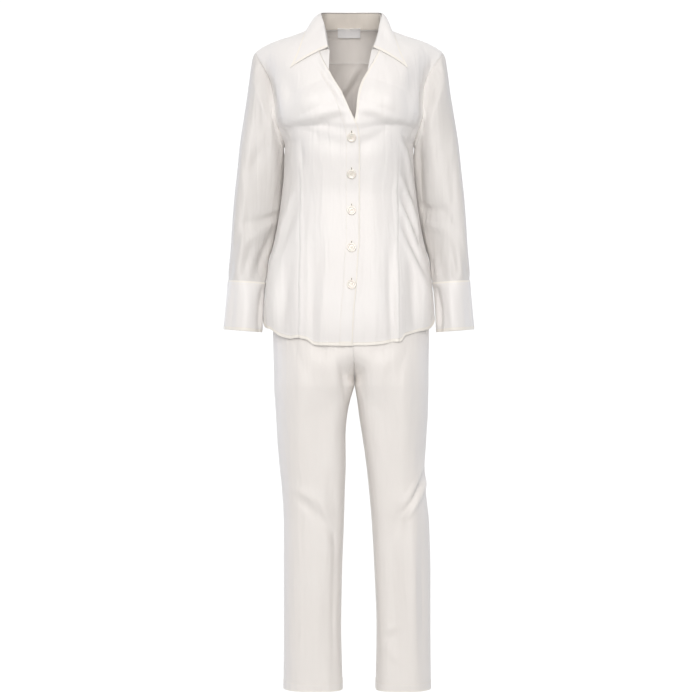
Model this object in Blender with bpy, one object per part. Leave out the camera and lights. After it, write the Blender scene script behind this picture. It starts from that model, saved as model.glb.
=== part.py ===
"""Pyjama set: a fitted long-sleeved shirt and straight ankle-length trousers.

Both garments keep the filled-out shape they have when worn, with nobody inside.
Metres, +Z up.  The front faces -Y and the wearer's left is +X.  The origin lies
between the shoulders, a little below the neck seam, where a wearer carries the shirt.

Every cut piece is a thin wall of cloth.  Its outer points lie on the surface of the
filled garment, its inner points one cloth thickness behind them.
"""
import math
from collections import namedtuple

import bpy
import numpy as np
from mathutils import Vector

WALL = 0.0015          # cloth with its seam allowances
SEAM_GAP = 0.0004      # between two pieces that are sewn edge to edge
LAY_GAP = 0.0005       # between two layers that lie on each other
EDGE_GAP = 0.0008      # the fronts' own edges, clear of the collar stand
ARMHOLE_GAP = 0.0016   # the sleeve's ring, clear of the body at the tight underarm
STAND_GAP = 0.0036     # the collar stand's foot, clear of the fronts it stands on
PROBE = 0.0004         # step used to measure the slope of the surface
SETTLE_STEPS = 4       # rounds in which a point settles onto the surface
TINY = 1e-6
SHARP_ANGLE = 40       # degrees between faces that are shaded apart

FRONT = -1             # the sign of Y on the front of the garment
BACK = 1
RIGHT = -1             # the sign of X on the wearer's right
LEFT = 1


class Table:
    """Rows of sizes under named columns, read smoothly along the first column."""

    def __init__(self, columns, rows):
        self.columns = columns.split()
        self.rows = np.array(sorted(rows), dtype=float)
        self.keys = self.rows[:, 0]
        steps = np.diff(self.keys)[:, None]
        rises = np.diff(self.rows, axis=0) / steps
        self.slopes = np.zeros_like(self.rows)
        self.slopes[0] = rises[0]
        self.slopes[-1] = rises[-1]
        before, after = rises[:-1], rises[1:]
        same_way = before * after > 0
        total = np.where(same_way, before + after, 1.0)
        self.slopes[1:-1] = np.where(same_way, 2 * before * after / total, 0.0)

    def at(self, column, key):
        index = self.columns.index(column)
        key = min(max(key, self.keys[0]), self.keys[-1])
        row = min(int(np.searchsorted(self.keys, key, side="right")) - 1, len(self.keys) - 2)
        width = self.keys[row + 1] - self.keys[row]
        t = (key - self.keys[row]) / width
        start, end = self.rows[row, index], self.rows[row + 1, index]
        rise_start = self.slopes[row, index] * width
        rise_end = self.slopes[row + 1, index] * width
        curve = (2 * t**3 - 3 * t**2 + 1) * start + (3 * t**2 - 2 * t**3) * end
        return curve + (t**3 - 2 * t**2 + t) * rise_start + (t**3 - t**2) * rise_end


# The body of the shirt.  Above the underarm the half width is that of the rounded
# chest, which the armhole then cuts away.
BODY = Table("height half_width front_depth back_depth", [
    (-0.680, 0.1900, 0.1190, 0.1320),
    (-0.580, 0.1880, 0.1170, 0.1310),   # hem at the side seams
    (-0.508, 0.1825, 0.1130, 0.1270),   # hips
    (-0.460, 0.1765, 0.1100, 0.1210),
    (-0.420, 0.1660, 0.1060, 0.1110),
    (-0.360, 0.1545, 0.0990, 0.0960),
    (-0.320, 0.1490, 0.0970, 0.0900),   # waist
    (-0.270, 0.1440, 0.1040, 0.0920),
    (-0.205, 0.1415, 0.1180, 0.1000),   # underarm
    (-0.190, 0.1503, 0.1215, 0.1020),
    (-0.165, 0.1680, 0.1240, 0.1060),   # bust
    (-0.134, 0.1853, 0.1220, 0.1090),
    (-0.100, 0.1985, 0.1130, 0.1110),
    (-0.068, 0.2065, 0.1050, 0.1110),
    (-0.020, 0.2220, 0.0980, 0.1080),
    (0.004, 0.2300, 0.0960, 0.1050),
    (0.100, 0.2350, 0.0950, 0.1030),
])
ACROSS_POWER = 2.4     # squareness of the body from side to side
DEPTH_POWER = 2.2      # squareness of the body from back to front
CAP_START = -0.12      # the shoulders begin to round over here
CAP_POWER = 3.0
TIP_X = 0.205          # shoulder tip, where the armhole crosses the shoulder seam
TIP_Z = 0.004
NECK_X = 0.076         # neck point, where the neckline crosses the shoulder seam
UNDERARM_Z = -0.205

# The shoulder seam's height; inside the neck it only shapes the surface below it.
SHOULDER = Table("x height", [
    (0.000, 0.0900),
    (0.050, 0.0700),
    (0.076, 0.0580),
    (0.120, 0.0405),
    (0.163, 0.0265),
    (0.190, 0.0140),
    (TIP_X, TIP_Z),
])

# Where the armhole cuts the body, seen from the front, as a share of its half width.
ARMHOLE = Table("height share", [
    (-0.205, 1.0000),
    (-0.198, 0.9910),
    (-0.187, 0.9760),
    (-0.173, 0.9570),
    (-0.138, 0.9250),
    (-0.100, 0.9060),
    (-0.020, 0.8940),
    (TIP_Z, TIP_X / 0.2300),
])

# The front edges: V neck above, lapped edge below.  The right front laps over the left.
FRONT_EDGE = Table("height right left", [
    (-0.645, 0.0075, -0.0180),
    (-0.563, 0.0115, -0.0180),
    (-0.519, 0.0160, -0.0180),
    (-0.450, 0.0200, -0.0180),
    (-0.410, 0.0230, -0.0180),
    (-0.250, 0.0235, -0.0170),
    (-0.205, 0.0235, -0.0100),
    (-0.178, 0.0205, 0.0040),
    (-0.156, 0.0107, 0.0115),           # foot of the V
    (-0.138, 0.0020, 0.0150),
    (-0.117, -0.0070, 0.0165),
    (-0.095, -0.0175, 0.0200),
    (-0.074, -0.0300, 0.0270),
    (-0.050, -0.0430, 0.0400),          # end of the collar stand
    (-0.030, -0.0540, 0.0520),
    (-0.004, -0.0650, 0.0640),
    (0.022, -0.0730, 0.0725),
    (0.045, -0.0758, 0.0758),
])
UNDERLAP_X = 0.030     # the left front dips behind the right one up to here
UNDERLAP_FADE = 0.030
STAND_END_Z = -0.050
V_FOOT_Z = -0.178
FRONT_HEM_Z = -0.642
BACK_HEM_Z = -0.652
SIDE_HEM_Z = -0.580
HEM_POWER = 1.8        # the hem stays low and rises to the side seams
BACK_HEM_POWER = 2.6
YOKE_Z = -0.005        # yoke seam at the centre of the back
YOKE_POWER = 2.0       # the yoke seam drops in this curve to the armholes
BACK_NECK_DEPTH = 0.058

# The dart from under the bust to the hem draws the cloth in along a narrow crease.
DART = Table("height x", [
    (-0.660, 0.1100),
    (-0.330, 0.1070),
    (-0.215, 0.1090),
    (-0.100, 0.1200),
    (0.050, 0.1400),
])
DART_TIP_Z = -0.225
DART_FADE = 0.050
DART_HALF_WIDTH = 0.009
DART_DEPTH = 0.0022
DART_SHARE = 0.75      # the dart stays within this share of the panel's width
DART_MARGIN = 0.020

# The collar's roll line, from the centre of the back (0) to its front end (1).
ROLL = Table("station right left y z", [
    (0.00, 0.0000, 0.0000, 0.0600, 0.0980),
    (0.20, 0.0360, 0.0380, 0.0540, 0.0975),
    (0.38, 0.0530, 0.0600, 0.0380, 0.0955),
    (0.52, 0.0600, 0.0700, 0.0100, 0.0900),
    (0.64, 0.0590, 0.0700, -0.0180, 0.0800),
    (0.76, 0.0530, 0.0660, -0.0440, 0.0580),
    (0.88, 0.0465, 0.0590, -0.0640, 0.0270),
    (1.00, 0.0420, 0.0490, -0.0780, -0.0030),
])
# The leaf's outer edge, which lies on the yoke, the shoulders and the fronts.
LEAF_EDGE = Table("station x y z", [
    (0.00, 0.0000, 0.0860, 0.0400),
    (0.20, 0.0450, 0.0780, 0.0390),
    (0.38, 0.0740, 0.0520, 0.0470),
    (0.52, 0.0850, 0.0060, 0.0560),
    (0.64, 0.0910, -0.0340, 0.0450),
    (0.76, 0.1000, -0.0590, 0.0230),
    (0.88, 0.1130, -0.0790, -0.0120),
    (1.00, 0.1270, -0.0850, -0.0430),
])
LEAF_ROWS = 6
LEAF_CLEARANCE = 0.0045
LEAF_START = 0.0015    # the leaf starts this far outside the stand
LEAF_BULGE = 0.0055    # the leaf rounds out over its fold
LEAF_BULGE_POWER = 0.7
LEAF_LEAN = 0.06       # and the rounding leans up by this much
STAND_ROWS = 3
STAND_SHARE = 0.96     # the stand stops just under the leaf's fold

# Each sleeve hangs in rungs, from the inner arm to the outer arm.
SLEEVE = Table("station outer_x outer_z outer_y inner_x inner_z inner_y depth", [
    (0.000, 0.2050, 0.0040, 0.0000, 0.1415, -0.2050, 0.0000, 0.1160),
    (0.015, 0.2095, -0.0045, -0.0010, 0.1440, -0.2090, 0.0020, 0.1180),
    (0.035, 0.2135, -0.0210, -0.0030, 0.1455, -0.2140, 0.0060, 0.1210),
    (0.065, 0.2175, -0.0480, -0.0060, 0.1455, -0.2230, 0.0120, 0.1240),
    (0.105, 0.2225, -0.0880, -0.0090, 0.1450, -0.2360, 0.0200, 0.1270),
    (0.155, 0.2295, -0.1370, -0.0120, 0.1445, -0.2550, 0.0270, 0.1260),
    (0.215, 0.2385, -0.1980, -0.0160, 0.1440, -0.2830, 0.0310, 0.1220),
    (0.275, 0.2445, -0.2590, -0.0200, 0.1470, -0.3160, 0.0310, 0.1170),
    (0.335, 0.2508, -0.3200, -0.0240, 0.1510, -0.3510, 0.0290, 0.1120),
    (0.390, 0.2548, -0.3740, -0.0290, 0.1590, -0.3870, 0.0260, 0.1060),
    (0.430, 0.2572, -0.4130, -0.0330, 0.1660, -0.4180, 0.0200, 0.1000),
    (0.475, 0.2602, -0.4570, -0.0360, 0.1780, -0.4590, 0.0010, 0.0910),
    (0.518, 0.2627, -0.4985, -0.0380, 0.1825, -0.5030, -0.0230, 0.0820),
])
SLEEVE_LENGTH = 0.518
SLEEVE_ROWS = 13
SLEEVE_SPACING = 1.25  # its rows lie closer together at the armhole
CAP_FADE = 0.075       # the armhole's own outline fades into the sleeve's oval here

CUFF = Table("station outer_x outer_z outer_y inner_x inner_z inner_y depth", [
    (0.000, 0.2640, -0.4990, -0.0385, 0.1815, -0.5035, -0.0240, 0.0850),
    (0.500, 0.2685, -0.5530, -0.0390, 0.1850, -0.5580, -0.0320, 0.0870),
    (1.000, 0.2735, -0.6060, -0.0400, 0.1880, -0.6125, -0.0380, 0.0900),
])
CUFF_ROWS = 4
CUFF_POINTS = 28

# The hips of the trousers.  The seam is the line of the centre front and back seams.
HIPS = Table("height seam half_width front_depth back_depth", [
    (-0.760, 0.0130, 0.1690, 0.1000, 0.1120),
    (-0.726, 0.0125, 0.1690, 0.1030, 0.1140),
    (-0.680, 0.0110, 0.1700, 0.1060, 0.1190),
    (-0.620, 0.0080, 0.1715, 0.1075, 0.1272),
    (-0.560, 0.0060, 0.1690, 0.1065, 0.1285),
    (-0.500, 0.0040, 0.1620, 0.1020, 0.1200),
    (-0.440, 0.0030, 0.1500, 0.0960, 0.1050),
    (-0.390, 0.0020, 0.1400, 0.0880, 0.0880),
    (-0.340, 0.0020, 0.1350, 0.0850, 0.0820),
])
HIP_CENTRE = 0.0045
CROTCH_Z = -0.726
FRONT_RISE = 0.080     # height over which the front crotch seam curves forward
BACK_RISE = 0.120
RISE_FILL = 0.13       # keeps the hips full where the two legs' rings join
WAIST_Z = -0.352
BAND_DEPTH = 0.035
BAND_ROWS = 2
BAND_COLUMNS = 9       # in each quarter of the waistband

# Each leg, from its outer to its inner edge, seen from the front.
LEG_COLUMNS = "height outer inner front_depth back_depth"
RIGHT_LEG = Table(LEG_COLUMNS, [
    (-1.392, 0.1440, 0.0140, 0.0640, 0.0700),
    (-1.260, 0.1430, 0.0170, 0.0640, 0.0690),
    (-1.140, 0.1430, 0.0150, 0.0660, 0.0690),
    (-1.030, 0.1430, 0.0110, 0.0690, 0.0700),
    (-0.960, 0.1470, 0.0090, 0.0730, 0.0740),
    (-0.900, 0.1530, 0.0070, 0.0780, 0.0800),
    (-0.840, 0.1580, 0.0075, 0.0840, 0.0880),
    (-0.795, 0.1600, 0.0040, 0.0890, 0.0960),
    (-0.760, 0.1620, -0.0030, 0.0930, 0.1030),
    (-0.738, 0.1640, -0.0095, 0.0960, 0.1070),
    (-0.726, 0.1645, -0.0125, 0.0980, 0.1090),
    (-0.600, 0.1650, -0.0125, 0.1020, 0.1150),
])
LEFT_LEG = Table(LEG_COLUMNS, [
    (-1.392, 0.1800, 0.0585, 0.0640, 0.0700),
    (-1.260, 0.1790, 0.0605, 0.0640, 0.0690),
    (-1.140, 0.1790, 0.0560, 0.0660, 0.0690),
    (-1.030, 0.1760, 0.0500, 0.0690, 0.0700),
    (-0.960, 0.1690, 0.0440, 0.0730, 0.0740),
    (-0.900, 0.1665, 0.0375, 0.0780, 0.0800),
    (-0.840, 0.1700, 0.0290, 0.0840, 0.0880),
    (-0.795, 0.1730, 0.0220, 0.0890, 0.0960),
    (-0.760, 0.1740, 0.0175, 0.0930, 0.1030),
    (-0.738, 0.1750, 0.0140, 0.0960, 0.1070),
    (-0.726, 0.1755, 0.0125, 0.0980, 0.1090),
    (-0.600, 0.1760, 0.0125, 0.1020, 0.1150),
])
HEM_Z = -1.392
LEG_ROWS = 14
RISE_ROWS = 6
HIP_ROWS = 5
PANEL_COLUMNS = 8
LEG_POWER = 2.2

# Buttonhole band along the right front's edge.
BAND = Table("height width", [
    (-0.645, 0.0300),
    (-0.230, 0.0310),
    (-0.180, 0.0300),
    (-0.130, 0.0230),
    (-0.050, 0.0200),
])
BAND_WALL = 0.0010
BAND_END_GAP = 0.0016

BUTTON_HEIGHTS = (-0.197, -0.2735, -0.351, -0.4315, -0.5110)
BUTTON_X = 0.0055
BUTTON_RADIUS = 0.0102
BUTTON_SIDES = 18
# Flat back, rounded edge, raised rim and dished middle.
BUTTON_PROFILE = Table("ring radius height", [
    (0, 0.0085, 0.0000),
    (1, BUTTON_RADIUS, 0.0012),
    (2, BUTTON_RADIUS, 0.0023),
    (3, 0.0090, 0.0033),
    (4, 0.0074, 0.0031),
    (5, 0.0058, 0.0022),
])

LABEL_HALF_WIDTH = 0.026
LABEL_TOP_Z = 0.064
LABEL_BOTTOM_Z = 0.046
LABEL_WALL = 0.0008
LABEL_COLUMNS = 5
LABEL_DROP = 0.0020    # the label hangs a little away from the yoke at its lower edge

# Rows and columns of the shirt's panels.
LOW_ROWS = 10          # between hem and underarm
ARM_STEPS = 16         # between underarm and shoulder tip
V_STEPS = 9            # of them beside the V neck, the rest beside the neckline
YOKE_STEP = 12         # the yoke seam meets the armhole here
DART_COLUMNS = 5       # of a front, from its edge to the dart
SIDE_COLUMNS = 7       # of a front, from the dart to the side
NECK_COLUMNS = 4       # of the back, from its centre to the neck point
SHOULDER_SHARES = (0.54, 0.70, 0.82, 0.91, 0.975, 1.0)

# Large soft folds.  Depth is positive for a ridge and negative for a trough.
FOLD_FADE = 0.2        # folds fade out where the body is less full than this
Fold = namedtuple("Fold", "face x1 z1 x2 z2 width depth")
SHIRT_FOLDS = [
    Fold(FRONT, -0.130, -0.150, -0.060, -0.185, 0.016, -0.0035),
    Fold(FRONT, 0.060, -0.180, 0.135, -0.150, 0.016, -0.0035),
    Fold(FRONT, 0.112, -0.290, 0.150, -0.390, 0.013, 0.0030),
    Fold(FRONT, -0.112, -0.300, -0.150, -0.400, 0.013, 0.0030),
    Fold(BACK, -0.110, -0.280, -0.020, -0.320, 0.018, -0.0040),
    Fold(BACK, 0.110, -0.290, 0.020, -0.335, 0.018, -0.0040),
    Fold(BACK, -0.100, -0.120, -0.060, -0.240, 0.018, 0.0035),
    Fold(BACK, 0.100, -0.120, 0.060, -0.240, 0.018, 0.0035),
]
TROUSER_FOLDS = [
    Fold(FRONT, -0.100, -0.970, -0.050, -1.050, 0.018, -0.0040),
    Fold(FRONT, 0.160, -0.930, 0.115, -1.040, 0.018, -0.0050),
    Fold(FRONT, 0.150, -0.960, 0.150, -1.060, 0.014, 0.0035),
    Fold(FRONT, 0.075, -1.270, 0.105, -1.245, 0.014, -0.0035),
    Fold(BACK, -0.120, -0.760, -0.040, -0.800, 0.020, -0.0040),
    Fold(BACK, 0.130, -0.760, 0.060, -0.800, 0.020, -0.0040),
    Fold(BACK, -0.120, -1.000, -0.040, -1.030, 0.018, -0.0040),
    Fold(BACK, 0.160, -1.000, 0.090, -1.040, 0.018, -0.0040),
]

SATIN = ("ivory satin", (0.86, 0.84, 0.80), 0.32)
SHELL = ("mother of pearl", (0.80, 0.78, 0.74), 0.22)
RIBBON = ("woven ribbon", (0.82, 0.80, 0.75), 0.55)


# ------------------------------------------------------------------ surface of the shirt

def unit(vector):
    return vector / np.linalg.norm(vector)


def blend(start, end, share):
    return start + (end - start) * share


def ease(share):
    share = min(max(share, 0.0), 1.0)
    return share * share * (3 - 2 * share)


def shoulder_height(x):
    return SHOULDER.at("height", abs(x))


def fullness(x, z):
    """1 in the middle of the body, 0 on its side seams and shoulder seams."""
    across = 1 - (abs(x) / BODY.at("half_width", z)) ** ACROSS_POWER
    rise = max(0.0, z - CAP_START) / (shoulder_height(x) - CAP_START)
    return across * (1 - rise ** CAP_POWER)


def body_depth(z, face):
    return BODY.at("front_depth" if face == FRONT else "back_depth", z)


def body_y(x, z, face):
    return face * body_depth(z, face) * max(fullness(x, z), 0.0) ** (1 / DEPTH_POWER)


def body_height(x, y, face):
    """Height of the shoulder or neck surface above a point of the plan."""
    height = shoulder_height(x)
    for _ in range(SETTLE_STEPS):
        across = 1 - (abs(x) / BODY.at("half_width", height)) ** ACROSS_POWER
        ratio = (abs(y) / body_depth(height, face)) ** DEPTH_POWER / across
        rise = max(0.0, 1 - ratio) ** (1 / CAP_POWER)
        height = CAP_START + rise * (shoulder_height(x) - CAP_START)
    return height


def body_field(point):
    x, y, z = point
    face = FRONT if y < 0 else BACK
    scale = body_depth(z, face) ** DEPTH_POWER
    return abs(y) ** DEPTH_POWER / scale - fullness(x, z)


def body_normal(point):
    slope = np.zeros(3)
    for axis in range(3):
        step = np.zeros(3)
        step[axis] = PROBE
        slope[axis] = body_field(point + step) - body_field(point - step)
    return unit(slope)


def fold_height(folds, face, x, z):
    """Sum of the soft ridges and troughs at one place of a face."""
    height = 0.0
    for fold in folds:
        if fold.face != face:
            continue
        start = np.array((fold.x1, fold.z1))
        run = np.array((fold.x2, fold.z2)) - start
        along = float(np.dot(np.array((x, z)) - start, run) / np.dot(run, run))
        away = np.linalg.norm(np.array((x, z)) - start - run * min(max(along, 0.0), 1.0))
        height += fold.depth * math.exp(-(away / fold.width) ** 2)
    return height


def dart_height(x, z, face):
    if face != FRONT:
        return 0.0
    away = (abs(x) - DART.at("x", z)) / DART_HALF_WIDTH
    reach = ease((DART_TIP_Z - z) / DART_FADE)
    return -DART_DEPTH * reach * max(0.0, 1 - abs(away))


def shirt_point(x, z, face, lift=0.0):
    """A point of the shirt's outer surface, moved out by lift, and the way out there."""
    point = np.array((x, body_y(x, z, face), z))
    normal = body_normal(point)
    soft = min(1.0, max(0.0, fullness(x, z)) / FOLD_FADE)
    rise = fold_height(SHIRT_FOLDS, face, x, z) * soft + dart_height(x, z, face)
    return point + normal * (rise + lift), normal


def clear_of_body(point, clearance):
    """Moves a point out until it stands clear of the shirt's body."""
    for _ in range(SETTLE_STEPS):
        normal = body_normal(point)
        ahead = body_field(point + normal * PROBE)
        behind = body_field(point - normal * PROBE)
        distance = body_field(point) * 2 * PROBE / (ahead - behind)
        if distance < clearance:
            point = point + normal * (clearance - distance)
    return point


# ------------------------------------------------------------------ walls of cloth

def grid_normals(points, closed=False):
    """The way out at each point of a grid, from its neighbours."""
    if closed:
        across = np.roll(points, -1, axis=1) - np.roll(points, 1, axis=1)
    else:
        across = np.gradient(points, axis=1)
    along = np.gradient(points, axis=0)
    normals = np.cross(across, along)
    return normals / np.linalg.norm(normals, axis=2, keepdims=True)


def pull_in(points, sides, gap=SEAM_GAP):
    """Draws the named sides of a grid back from their seams by half a gap."""
    trimmed = points.copy()
    ends = {"first_row": (0, 0, 1), "last_row": (0, -1, -2),
            "first_column": (1, 0, 1), "last_column": (1, -1, -2)}
    for side in sides:
        axis, edge, inside = ends[side]
        lines = np.moveaxis(trimmed, axis, 0)
        way = lines[inside] - lines[edge]
        length = np.linalg.norm(way, axis=-1, keepdims=True)
        lines[edge] += way / length * np.minimum(gap / 2, length / 2)
    return trimmed


def wall_mesh(name, outer, normals, wall, closed=False):
    """A closed wall whose outer points are a grid of rows and columns."""
    rows, columns = outer.shape[:2]
    inner = outer - normals * wall
    points = np.concatenate((outer.reshape(-1, 3), inner.reshape(-1, 3)))
    behind = rows * columns

    def at(row, column):
        return row * columns + column % columns

    faces = []
    last = columns if closed else columns - 1
    for row in range(rows - 1):
        for column in range(last):
            quad = (at(row, column), at(row, column + 1),
                    at(row + 1, column + 1), at(row + 1, column))
            faces.append(quad)
            faces.append(tuple(behind + corner for corner in reversed(quad)))
    for column in range(last):
        for row, turn in ((0, False), (rows - 1, True)):
            a, b = at(row, column), at(row, column + 1)
            faces.append((b, a, behind + a, behind + b) if not turn
                         else (a, b, behind + b, behind + a))
    if not closed:
        for row in range(rows - 1):
            for column, turn in ((0, True), (columns - 1, False)):
                a, b = at(row, column), at(row + 1, column)
                faces.append((b, a, behind + a, behind + b) if not turn
                             else (a, b, behind + b, behind + a))
    mesh = bpy.data.meshes.new(name)
    mesh.from_pydata([tuple(point) for point in points], [], faces)
    mesh.update()
    if enclosed_volume(mesh) < 0:
        mesh.flip_normals()
    return mesh


def enclosed_volume(mesh):
    total = 0.0
    for polygon in mesh.polygons:
        corners = [mesh.vertices[index].co for index in polygon.vertices]
        for second, third in zip(corners[1:-1], corners[2:]):
            total += corners[0].dot(second.cross(third)) / 6
    return total


def add_object(name, mesh, finish):
    label, colour, roughness = finish
    material = bpy.data.materials.get(label)
    if material is None:
        material = bpy.data.materials.new(label)
        material.use_nodes = True
        shader = material.node_tree.nodes["Principled BSDF"]
        shader.inputs["Base Color"].default_value = (*colour, 1)
        shader.inputs["Roughness"].default_value = roughness
    if not mesh.materials:
        mesh.materials.append(material)
        mesh.shade_smooth()
        mesh.set_sharp_from_angle(angle=math.radians(SHARP_ANGLE))
    piece = bpy.data.objects.new(name, mesh)
    bpy.context.scene.collection.objects.link(piece)
    return piece


def add_wall(name, outer, normals=None, wall=WALL, closed=False, finish=SATIN):
    if normals is None:
        normals = grid_normals(outer, closed)
    return add_object(name, wall_mesh(name, outer, normals, wall, closed), finish)


# ------------------------------------------------------------------ shirt panels

def arm_levels():
    """Heights of the armhole's points, from underarm to shoulder tip."""
    turns = np.linspace(0, math.pi, ARM_STEPS + 1)
    return UNDERARM_Z + (TIP_Z - UNDERARM_Z) * (1 - np.cos(turns)) / 2


def side_levels():
    """Heights along the side seam and then the armhole."""
    low = np.linspace(SIDE_HEM_Z, UNDERARM_Z, LOW_ROWS + 1)
    return np.concatenate((low[:-1], arm_levels()))


def side_x(z):
    return BODY.at("half_width", z) * ARMHOLE.at("share", z)


def neckline_levels():
    """Heights of the front neckline, from the end of the stand to the neck point."""
    steps = ARM_STEPS - V_STEPS
    turns = np.linspace(0, math.pi / 2, steps + 1)
    return STAND_END_Z + (shoulder_height(NECK_X) - STAND_END_Z) * np.sin(turns)


def front_edge_levels():
    low = np.linspace(FRONT_HEM_Z, V_FOOT_Z, LOW_ROWS + 1)
    slant = np.linspace(V_FOOT_Z, STAND_END_Z, V_STEPS + 1)
    return np.concatenate((low[:-1], slant[:-1], neckline_levels()))


def front_edge_x(z, hand):
    top = shoulder_height(NECK_X)
    if z > FRONT_EDGE.keys[-1]:
        share = (z - FRONT_EDGE.keys[-1]) / (top - FRONT_EDGE.keys[-1])
        return blend(FRONT_EDGE.at("right" if hand == RIGHT else "left", z), hand * NECK_X, share)
    return FRONT_EDGE.at("right" if hand == RIGHT else "left", z)


def underlap_lift(x, hand):
    """The left front dips behind the right one near the centre."""
    if hand == RIGHT:
        return 0.0
    return -(WALL + LAY_GAP) * (1 - ease((x - UNDERLAP_X) / UNDERLAP_FADE))


def front_columns(x_edge, x_side, hand, z):
    """X of each column of a front, with three columns close together at the dart."""
    reach = blend(abs(x_edge), abs(x_side), DART_SHARE) + DART_MARGIN
    x_dart = hand * min(DART.at("x", z), reach)
    centre = list(np.linspace(x_edge, x_dart, DART_COLUMNS + 1)[:-1])
    turns = np.linspace(0, math.pi / 2, SIDE_COLUMNS + 1)
    side = list(x_dart + (x_side - x_dart) * np.sin(turns))
    centre[-1] = x_dart - hand * DART_HALF_WIDTH
    side[1] = x_dart + hand * DART_HALF_WIDTH
    return np.array(centre + side)


def front_panel(hand):
    sides = side_levels()
    edges = front_edge_levels()
    rows = []
    normals = []
    for index, (z_edge, z_side) in enumerate(zip(edges, sides)):
        columns = front_columns(front_edge_x(z_edge, hand), hand * side_x(z_side), hand,
                                (z_edge + z_side) / 2)
        share = np.linspace(0, 1, len(columns))
        low = max(0.0, 1 - index / LOW_ROWS)
        share = share ** (1 + (HEM_POWER - 1) * low)
        line = []
        for x, part in zip(columns, share):
            z = min(blend(z_edge, z_side, part), shoulder_height(x))
            if z_side == sides[-1]:
                z = shoulder_height(x)
            line.append(shirt_point(x, z, FRONT, underlap_lift(x, hand)))
        rows.append([point for point, _ in line])
        normals.append([normal for _, normal in line])
    points = pull_in(np.array(rows), ("last_row", "last_column"))
    points = pull_in(points, ("first_column",), 2 * EDGE_GAP)
    return points, np.array(normals)


def back_shares():
    """Columns of the back and yoke as shares of the half width, centre to side."""
    neck = NECK_X / TIP_X
    half = list(np.linspace(0, neck, NECK_COLUMNS + 1)) + list(SHOULDER_SHARES)
    return np.array([-share for share in reversed(half[1:])] + half)


def back_line(shares, x_side, z_centre, z_side, power):
    line = []
    for share in shares:
        z = blend(z_centre, z_side, abs(share) ** power)
        line.append(shirt_point(share * x_side, z, BACK))
    return line


def back_panel():
    shares = back_shares()
    sides = side_levels()[:LOW_ROWS + YOKE_STEP + 1]
    low = np.linspace(BACK_HEM_Z, UNDERARM_Z, LOW_ROWS + 1)[:-1]
    high = np.linspace(UNDERARM_Z, YOKE_Z, YOKE_STEP + 1)
    lines = []
    for index, (z_centre, z_side) in enumerate(zip(np.concatenate((low, high)), sides)):
        power = blend(YOKE_POWER, BACK_HEM_POWER, max(0.0, 1 - index / LOW_ROWS))
        lines.append(back_line(shares, side_x(z_side), z_centre, z_side, power))
    points = np.array([[point for point, _ in line] for line in lines])
    normals = np.array([[normal for _, normal in line] for line in lines])
    return pull_in(points, ("last_row", "first_column", "last_column")), normals


def back_neck_point(turn):
    """A point of the back neckline; turn runs from 0 at the centre to 1 at the neck point."""
    x = NECK_X * math.sin(turn * math.pi / 2)
    y = BACK_NECK_DEPTH * math.cos(turn * math.pi / 2)
    if y < TINY:
        return x, shoulder_height(x)
    return x, body_height(x, y, BACK)


def yoke_panel():
    shares = back_shares()
    levels = arm_levels()[YOKE_STEP:]
    bottom = [(share * side_x(levels[0]), blend(YOKE_Z, levels[0], abs(share) ** YOKE_POWER))
              for share in shares]
    top = []
    for share in shares:
        if abs(share) <= NECK_X / TIP_X + TINY:
            x, z = back_neck_point(abs(share) / (NECK_X / TIP_X))
            top.append((math.copysign(x, share), z))
        else:
            top.append((share * TIP_X, shoulder_height(share * TIP_X)))
    rows = []
    normals = []
    for level in levels:
        rise = (level - levels[0]) / (levels[-1] - levels[0])
        line = []
        for (x_low, z_low), (x_high, z_high) in zip(bottom, top):
            x = blend(x_low, x_high, rise)
            if abs(x_low) > side_x(levels[0]) - TINY:
                x = math.copysign(side_x(level), x_low)
            z = min(blend(z_low, z_high, rise), shoulder_height(x))
            line.append(shirt_point(x, z, BACK))
        rows.append([point for point, _ in line])
        normals.append([normal for _, normal in line])
    points = pull_in(np.array(rows), ("first_row", "last_row", "first_column", "last_column"))
    return points, np.array(normals)


def band_panel():
    """The buttonhole band, moved out from the right front's own points."""
    levels = front_edge_levels()[:LOW_ROWS + V_STEPS + 1]
    lift = LAY_GAP + BAND_WALL
    rows = []
    normals = []
    for z in levels:
        x_edge = front_edge_x(z, RIGHT)
        line = []
        for share in (0.0, 0.5, 1.0):
            x = x_edge - BAND.at("width", z) * share
            line.append(shirt_point(x, z, FRONT, lift))
        rows.append([point for point, _ in line])
        normals.append([normal for _, normal in line])
    points = pull_in(np.array(rows), ("last_row",), BAND_END_GAP)
    return points, np.array(normals)


# ------------------------------------------------------------------ collar

def neck_seam():
    """The neckline from its right front end, round the back, to its left front end."""
    right = [shirt_point(front_edge_x(z, RIGHT), z, FRONT)[0] for z in neckline_levels()[:-1]]
    left = []
    for z in neckline_levels()[:-1]:
        x = front_edge_x(z, LEFT)
        left.append(shirt_point(x, z, FRONT, underlap_lift(x, LEFT))[0])
    back = []
    for turn in np.linspace(-1, 1, 2 * NECK_COLUMNS + 1):
        x, z = back_neck_point(abs(turn))
        back.append(shirt_point(math.copysign(x, turn), z, BACK)[0])
    return np.array(right + back + left[::-1])


def collar_stations():
    """Signed place of each neck seam point, -1 at the right front end, 1 at the left."""
    seam = neck_seam()
    lengths = np.concatenate(([0.0], np.cumsum(np.linalg.norm(np.diff(seam, axis=0), axis=1))))
    return 2 * lengths / lengths[-1] - 1


def roll_point(station):
    side = "left" if station > 0 else "right"
    x = math.copysign(ROLL.at(side, abs(station)), station)
    return np.array((x, ROLL.at("y", abs(station)), ROLL.at("z", abs(station))))


def leaf_edge_point(station):
    x = math.copysign(LEAF_EDGE.at("x", abs(station)), station)
    return np.array((x, LEAF_EDGE.at("y", abs(station)), LEAF_EDGE.at("z", abs(station))))


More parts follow.
